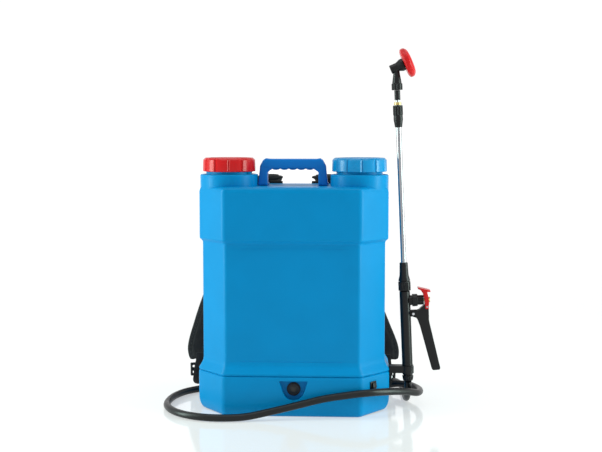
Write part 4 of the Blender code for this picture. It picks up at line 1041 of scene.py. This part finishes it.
def make_gun():
    """Grip, valve, trigger and lock. Heights run up the lance's axis from the grip's lower end."""
    barrel = [(0.0046, 0.1850), (0.0086, 0.1850), (0.0086, 0.1660), (0.0103, 0.1640), (0.0104, 0.1580)]
    barrel += [(0.0104, 0.1100), (0.0104, 0.0200)]
    barrel += [(0.0104, 0.0), (0.0088, 0.0), (0.0088, -0.0020), (0.0046, -0.0020)]
    grip = turned("gun_grip", barrel, GUN_BLACK, LANCE, 48, 0.0004)
    valve_at = LANCE @ moved((0, 0, VALVE_Z)) @ ALONG_X
    join(grip, rod(0.0098, 0.0075, 0.0135, 48, valve_at))
    cut(grip, rod(0.0052, 0.0020, 0.0220, 32, valve_at))
    lug_at = LANCE @ moved((0.0130, 0, PIVOT_Z))
    join(grip, block("lug", (0.0200, 0.0090, 0.0130), 0.0015, GUN_BLACK, lug_at))
    pivot_at = LANCE @ moved((PIVOT_X, 0, PIVOT_Z)) @ ALONG_Y
    cut(grip, rod(0.0028, -0.020, 0.020, 32, pivot_at))
    smooth(grip)
    grip.data.materials.clear()
    grip.data.materials.append(GUN_BLACK)
    stand_in(grip, "gun_body")

    collar = [(0.0116, 0.1840), (0.0120, 0.1820, 0.0009), (0.0120, 0.1664, 0.0009)]
    collar += [(0.0090, 0.1664), (0.0090, 0.1840)]
    stand_in(turned("collar_nut", collar, GUN_BLACK, LANCE, 144, 0.0004, 18, 0.5), "gun_collar_nut")
    bonnet = [(0.0035, 0.0225), (0.0088, 0.0225), (0.0094, 0.0205, 0.0008), (0.0094, 0.0110, 0.0008)]
    bonnet += [(0.0120, 0.0100), (0.0122, 0.0), (0.0035, 0.0)]
    bonnet_at = LANCE @ moved((0.0139, 0, VALVE_Z)) @ ALONG_X
    stand_in(turned("bonnet", bonnet, GUN_BLACK, bonnet_at, 144, 0.0004, 16, 0.5), "valve_bonnet")
    stem = [(0, 0.0486), (0.0048, 0.0486), (0.0055, 0.0478), (0.0055, 0.0460), (0.0030, 0.0460)]
    stem += [(0.0030, 0.0070), (0.0046, 0.0070), (0.0046, 0.0040), (0, 0.0040)]
    stand_in(turned("stem", stem, BRASS, valve_at, 40, 0.0003), "valve_stem")

    lever = plate("lever", [LEVER_OUTLINE], 0.0170, 0.0014, GUN_BLACK, LANCE, 0.0040)
    rooms = (((0.0300, 0.0104, 0.0200), (-0.0045, 0, 0)), ((0.0200, 0.0074, 0.0200), (0.0290, 0, 0.0310)))
    for size, (x, y, z) in rooms:
        at = LANCE @ moved((PIVOT_X + x, y, PIVOT_Z + z))
        cut(lever, block("room", size, 0, GUN_BLACK, at))
    cut(lever, rod(0.0028, -0.020, 0.020, 32, pivot_at))
    lock_at = LANCE @ moved((LOCK_X, 0, LOCK_Z)) @ ALONG_Y
    cut(lever, rod(0.0018, -0.020, 0.020, 24, lock_at))
    smooth(lever)
    stand_in(lever, "trigger_lever")
    catch = plate("lock_catch", [LOCK_OUTLINE], 0.0222, 0.0008, RED, LANCE, 0.0012)
    room_at = LANCE @ moved((LOCK_X, 0, LOCK_Z + 0.0090))
    cut(catch, block("room", (0.0400, 0.0178, 0.0400), 0, RED, room_at))
    cut(catch, rod(0.0018, -0.020, 0.020, 24, lock_at))
    smooth(catch)
    stand_in(catch, "trigger_lock")
    nut = [(0.0106, -0.0026), (0.0110, -0.0040, 0.0006), (0.0102, -0.0100, 0.0006), (0.0092, -0.0128)]
    nut += [(0.0074, -0.0128), (0.0074, -0.0026)]
    stand_in(turned("tail_nut", nut, GUN_BLACK, LANCE, 144, 0.0004, 14, 0.4), "hose_tail_nut")


def make_lance():
    taper = [(0.0080, 0.2210), (0.0084, 0.2080), (0.0090, 0.1960), (0.0118, 0.1854)]
    taper += [(0.0056, 0.1854), (0.0056, 0.2210)]
    stand_in(turned("taper_nut", taper, GUN_BLACK, LANCE, 48, 0.0008), "lance_taper_nut")
    outer = ring(0.0052, 0.0044, 0.1858, 0.5200)
    stand_in(turned("outer_tube", outer, STAINLESS, LANCE, 48, 0.0002), "lance_outer_tube")
    collet = [(0.0093, 0.5270), (0.0096, 0.5240, 0.0007), (0.0096, 0.5090, 0.0007), (0.0089, 0.5078)]
    collet += [(0.0092, 0.5000), (0.0070, 0.4850), (0.0056, 0.4850), (0.0056, 0.5204)]
    collet += [(0.0043, 0.5208), (0.0043, 0.5270)]
    stand_in(turned("collet", collet, GUN_BLACK, LANCE, 144, 0.0004, 16, 0.45), "collet_nut")
    stop = turned("stop", ring(0.0070, 0.0043, 0.5276, 0.5332), BRASS, LANCE, 48, 0.0006)
    stand_in(stop, "stop_ring")
    inner = ring(0.0040, 0.0032, 0.2700, 0.5500)
    stand_in(turned("inner_tube", inner, STAINLESS, LANCE, 48, 0.0002), "lance_inner_tube")
    sleeve = [(0.0057, 0.5560), (0.0057, 0.5374), (0.0043, 0.5374), (0.0043, 0.5504)]
    sleeve += [(0.0030, 0.5508), (0.0030, 0.5560)]
    stand_in(turned("sleeve", sleeve, GUN_BLACK, LANCE, 48, 0.0004), "lance_sleeve")
    nut = [(0.0100, 0.5692), (0.0106, 0.5680, 0.0007), (0.0106, 0.5566, 0.0007), (0.0034, 0.5566)]
    nut += [(0.0034, 0.5600), (0.0094, 0.5600), (0.0094, 0.5692)]
    stand_in(turned("head_nut", nut, GUN_BLACK, LANCE, 144, 0.0004, 16, 0.45), "union_nut")

    elbow = [
        (0, 0.5990), (0.0052, 0.5990), (0.0066, 0.5870), (0.0090, 0.5712), (0.0090, 0.5604), (0, 0.5604)
    ]
    body = turned("elbow", elbow, GUN_BLACK, LANCE, 48, 0.0008)
    rear = [
        (0, 0.0155), (0.0120, 0.0155), (0.0120, 0.0100), (0.0085, 0.0020), (0.0085, -0.0120), (0, -0.0120)
    ]
    join(body, turned("barrel", rear, GUN_BLACK, HEAD, 48, 0.0008))
    join(body, rod(0.0060, 0.0130, 0.0270, 40, HEAD))
    cut(body, rod(0.0020, 0.002, 0.062, 24, HEAD))
    cut(body, rod(0.0024, 0.5500, 0.6000, 24, LANCE))
    smooth(body)
    stand_in(body, "nozzle_body")
    dish = [(0.0150, 0.0325), (0.0200, 0.0318), (0.0240, 0.0305), (0.0285, 0.0265), (0.0293, 0.0225)]
    dish += [(0.0286, 0.0185), (0.0235, 0.0160), (0.0063, 0.0160), (0.0063, 0.0274)]
    dish += [(0.0080, 0.0278), (0.0150, 0.0280)]
    stand_in(turned("head_dish", dish, RED, HEAD, 96, 0.0010), "spray_head")
    tip = [(0.0010, 0.0315), (0.0050, 0.0315), (0.0076, 0.0295), (0.0076, 0.0282), (0.0010, 0.0282)]
    stand_in(turned("tip", tip, BRASS, HEAD, 40, 0.0003), "nozzle_tip")


def make_lance_clip():
    """A C-shaped clip on the base's side that holds the grip's lower end."""
    x, y = GUN_FOOT.x, GUN_FOOT.y
    inner = HALF_WIDTH + GAP
    width = x - 0.0120 - inner + 0.004
    arm_at = moved((inner + width / 2, y, CLIP_Z + 0.0165))
    clip = block("clip", (width, 0.0220, 0.0140), 0.0014, BLACK, arm_at)
    join(clip, rod(0.0136, 0.0095, 0.0235, 56, moved((x, y, CLIP_Z))))
    foot_at = moved((inner + 0.0020, y, CLIP_Z))
    join(clip, block("foot", (0.0040, 0.0220, 0.0360), 0.0010, BLACK, foot_at))
    cut(clip, rod(0.0108, -0.020, 0.040, 56, LANCE))
    mouth_at = moved((x + 0.0120, y, CLIP_Z + 0.015))
    cut(clip, block("mouth", (0.0200, 0.0150, 0.060), 0, BLACK, mouth_at))
    hole_at = moved((inner, y, CLIP_Z)) @ ALONG_X
    cut(clip, rod(0.0024, -0.010, 0.020, 24, hole_at))
    smooth(clip)
    clip.data.materials.clear()
    clip.data.materials.append(BLACK)
    stand_in(clip, "lance_clip")


# ---- outlet, socket and switch -------------------------------------------------------------------
def make_hose_outlet():
    """The elbow through the back wall, with a ribbed strain relief where the hose leaves it."""
    y = HOSE_ROUTE[0][1]
    bend = 0.0140
    points = [(HOSE_OUTLET_X, BACK_Y - 0.0140), (HOSE_OUTLET_X, BACK_Y + 0.010)]
    for step in range(1, 11):
        angle = math.pi / 2 * step / 10
        points.append(
            (HOSE_OUTLET_X - bend * (1 - math.cos(angle)), BACK_Y + 0.010 + bend * math.sin(angle))
        )
    points.append((HOSE_ROUTE[0][0] + GAP, y))
    form = bmesh.new()
    rings = []
    for index, (x, along_y) in enumerate(points):
        ahead = Vector(points[min(index + 1, len(points) - 1)]) - Vector(points[max(index - 1, 0)])
        aside = Vector((ahead.y, -ahead.x)).normalized() * 0.0075
        loop = []
        for step in range(32):
            angle = 2 * math.pi * step / 32
            shift = aside * math.cos(angle)
            height = HOSE_OUTLET_Z + 0.0075 * math.sin(angle)
            loop.append(form.verts.new((x + shift.x, along_y + shift.y, height)))
        rings.append(loop)
    skin(form, rings, False)
    form.faces.new(list(reversed(rings[0])))
    form.faces.new(rings[-1])
    elbow = to_object("outlet_elbow", form, BLACK)
    flange_at = moved((HOSE_OUTLET_X, BACK_Y + GAP, HOSE_OUTLET_Z)) @ ALONG_Y
    flange = [(0, 0.0040), (0.0130, 0.0040), (0.0130, 0.0), (0, 0.0)]
    join(elbow, turned("flange", flange, BLACK, flange_at, 48, 0.0008))
    relief = [(0, 0.0140), (0.0082, 0.0140)]
    for ridge in range(4):
        low = 0.0020 + (3 - ridge) * 0.0030
        relief += [(0.0095, low + 0.0020), (0.0095, low + 0.0008), (0.0084, low)]
    relief += [(0.0084, 0.0), (0, 0.0)]
    tail_at = moved((HOSE_ROUTE[0][0] + 0.018, y, HOSE_OUTLET_Z))
    tail_at = tail_at @ Matrix.Rotation(-math.pi / 2, 4, "Y")
    join(elbow, turned("relief", relief, BLACK, tail_at, 48, 0.0004))
    smooth(elbow)
    stand_in(elbow, "hose_outlet")


def make_port():
    place = moved((PORT_X, PAN_Y - GAP, PORT_Z)) @ Matrix.Rotation(math.pi / 2, 4, "X")
    flange = 0.0022
    socket = [(0.0062, flange), (0.0128, flange), (0.0132, 0.0014), (0.0132, 0.0), (0.0080, 0.0)]
    socket += [(0.0080, -0.0160), (0.0030, -0.0160), (0.0030, -0.0120), (0.0062, -0.0120)]
    stand_in(turned("socket", socket, BLACK, place, 72, 0.0004), "charging_socket")
    seat = flange + GAP
    cover = [(0, 0.0084), (0.0050, 0.0074), (0.0078, 0.0052), (0.0104, 0.0044, 0.0005)]
    cover += [(0.0110, 0.0036, 0.0005), (0.0110, seat), (0.0058, seat), (0.0056, -0.0070), (0, -0.0070)]
    stand_in(turned("dust_cover", cover, SOFT_RUBBER, place, 144, 0.0006, 18, 0.4), "charging_cap")


def make_switch():
    turn = Matrix.Rotation(SWITCH_TURN, 4, "Z")
    frame_at = moved(SWITCH_AT + CHAMFER_NORMAL * (0.0010 + GAP)) @ turn
    bezel = block("bezel", (0.0160, 0.0020, 0.0220), 0.0007, BLACK, frame_at)
    body_at = moved(SWITCH_AT - CHAMFER_NORMAL * 0.0060) @ turn
    join(bezel, block("case", (0.0126, 0.0150, 0.0186), 0, BLACK, body_at))
    well_at = moved(SWITCH_AT + CHAMFER_NORMAL * 0.0020) @ turn
    cut(bezel, block("well", (0.0110, 0.0150, 0.0166), 0, BLACK, well_at))
    smooth(bezel)
    stand_in(bezel, "switch_bezel")
    half = 0.0078
    outline = [(0.0060, 0.0), (0.0046, half), (-0.0010, half), (-0.0040, 0.0030), (-0.0040, -0.0030)]
    outline += [(-0.0010, -half), (0.0028, -half)]
    rocker_at = moved(SWITCH_AT + CHAMFER_NORMAL * 0.0006)
    rocker_at = rocker_at @ Matrix.Rotation(SWITCH_TURN - math.pi / 2, 4, "Z")
    stand_in(plate("rocker", [outline], 0.0102, 0.0005, BLACK, rocker_at, 0.0006), "power_rocker")


paint_cad_nodes()
make_camera()
make_world()
make_floor()
softbox("left_box", (-1.50, -0.34, 0.50), (0.5, 1.6), 30, COOL)
softbox("right_box", (1.50, -0.34, 0.50), (0.5, 1.6), 29, COOL)
softbox("top_box", (0.0, -0.3, 1.90), (1.6, 1.0), 8)
bpy.context.scene.view_settings.view_transform = "Standard"
make_hose()
make_tank()
make_base()
for cap_colour, cap_side in CAP_SIDES.items():
    make_cap(cap_colour, cap_side)
make_handle()
for strap_name, strap_sign in (("left", -1), ("right", 1)):
    make_anchor(strap_name, strap_sign)
    make_strap(strap_name, strap_sign)
make_gun()
make_lance()
make_lance_clip()
make_hose_outlet()
make_port()
make_switch()
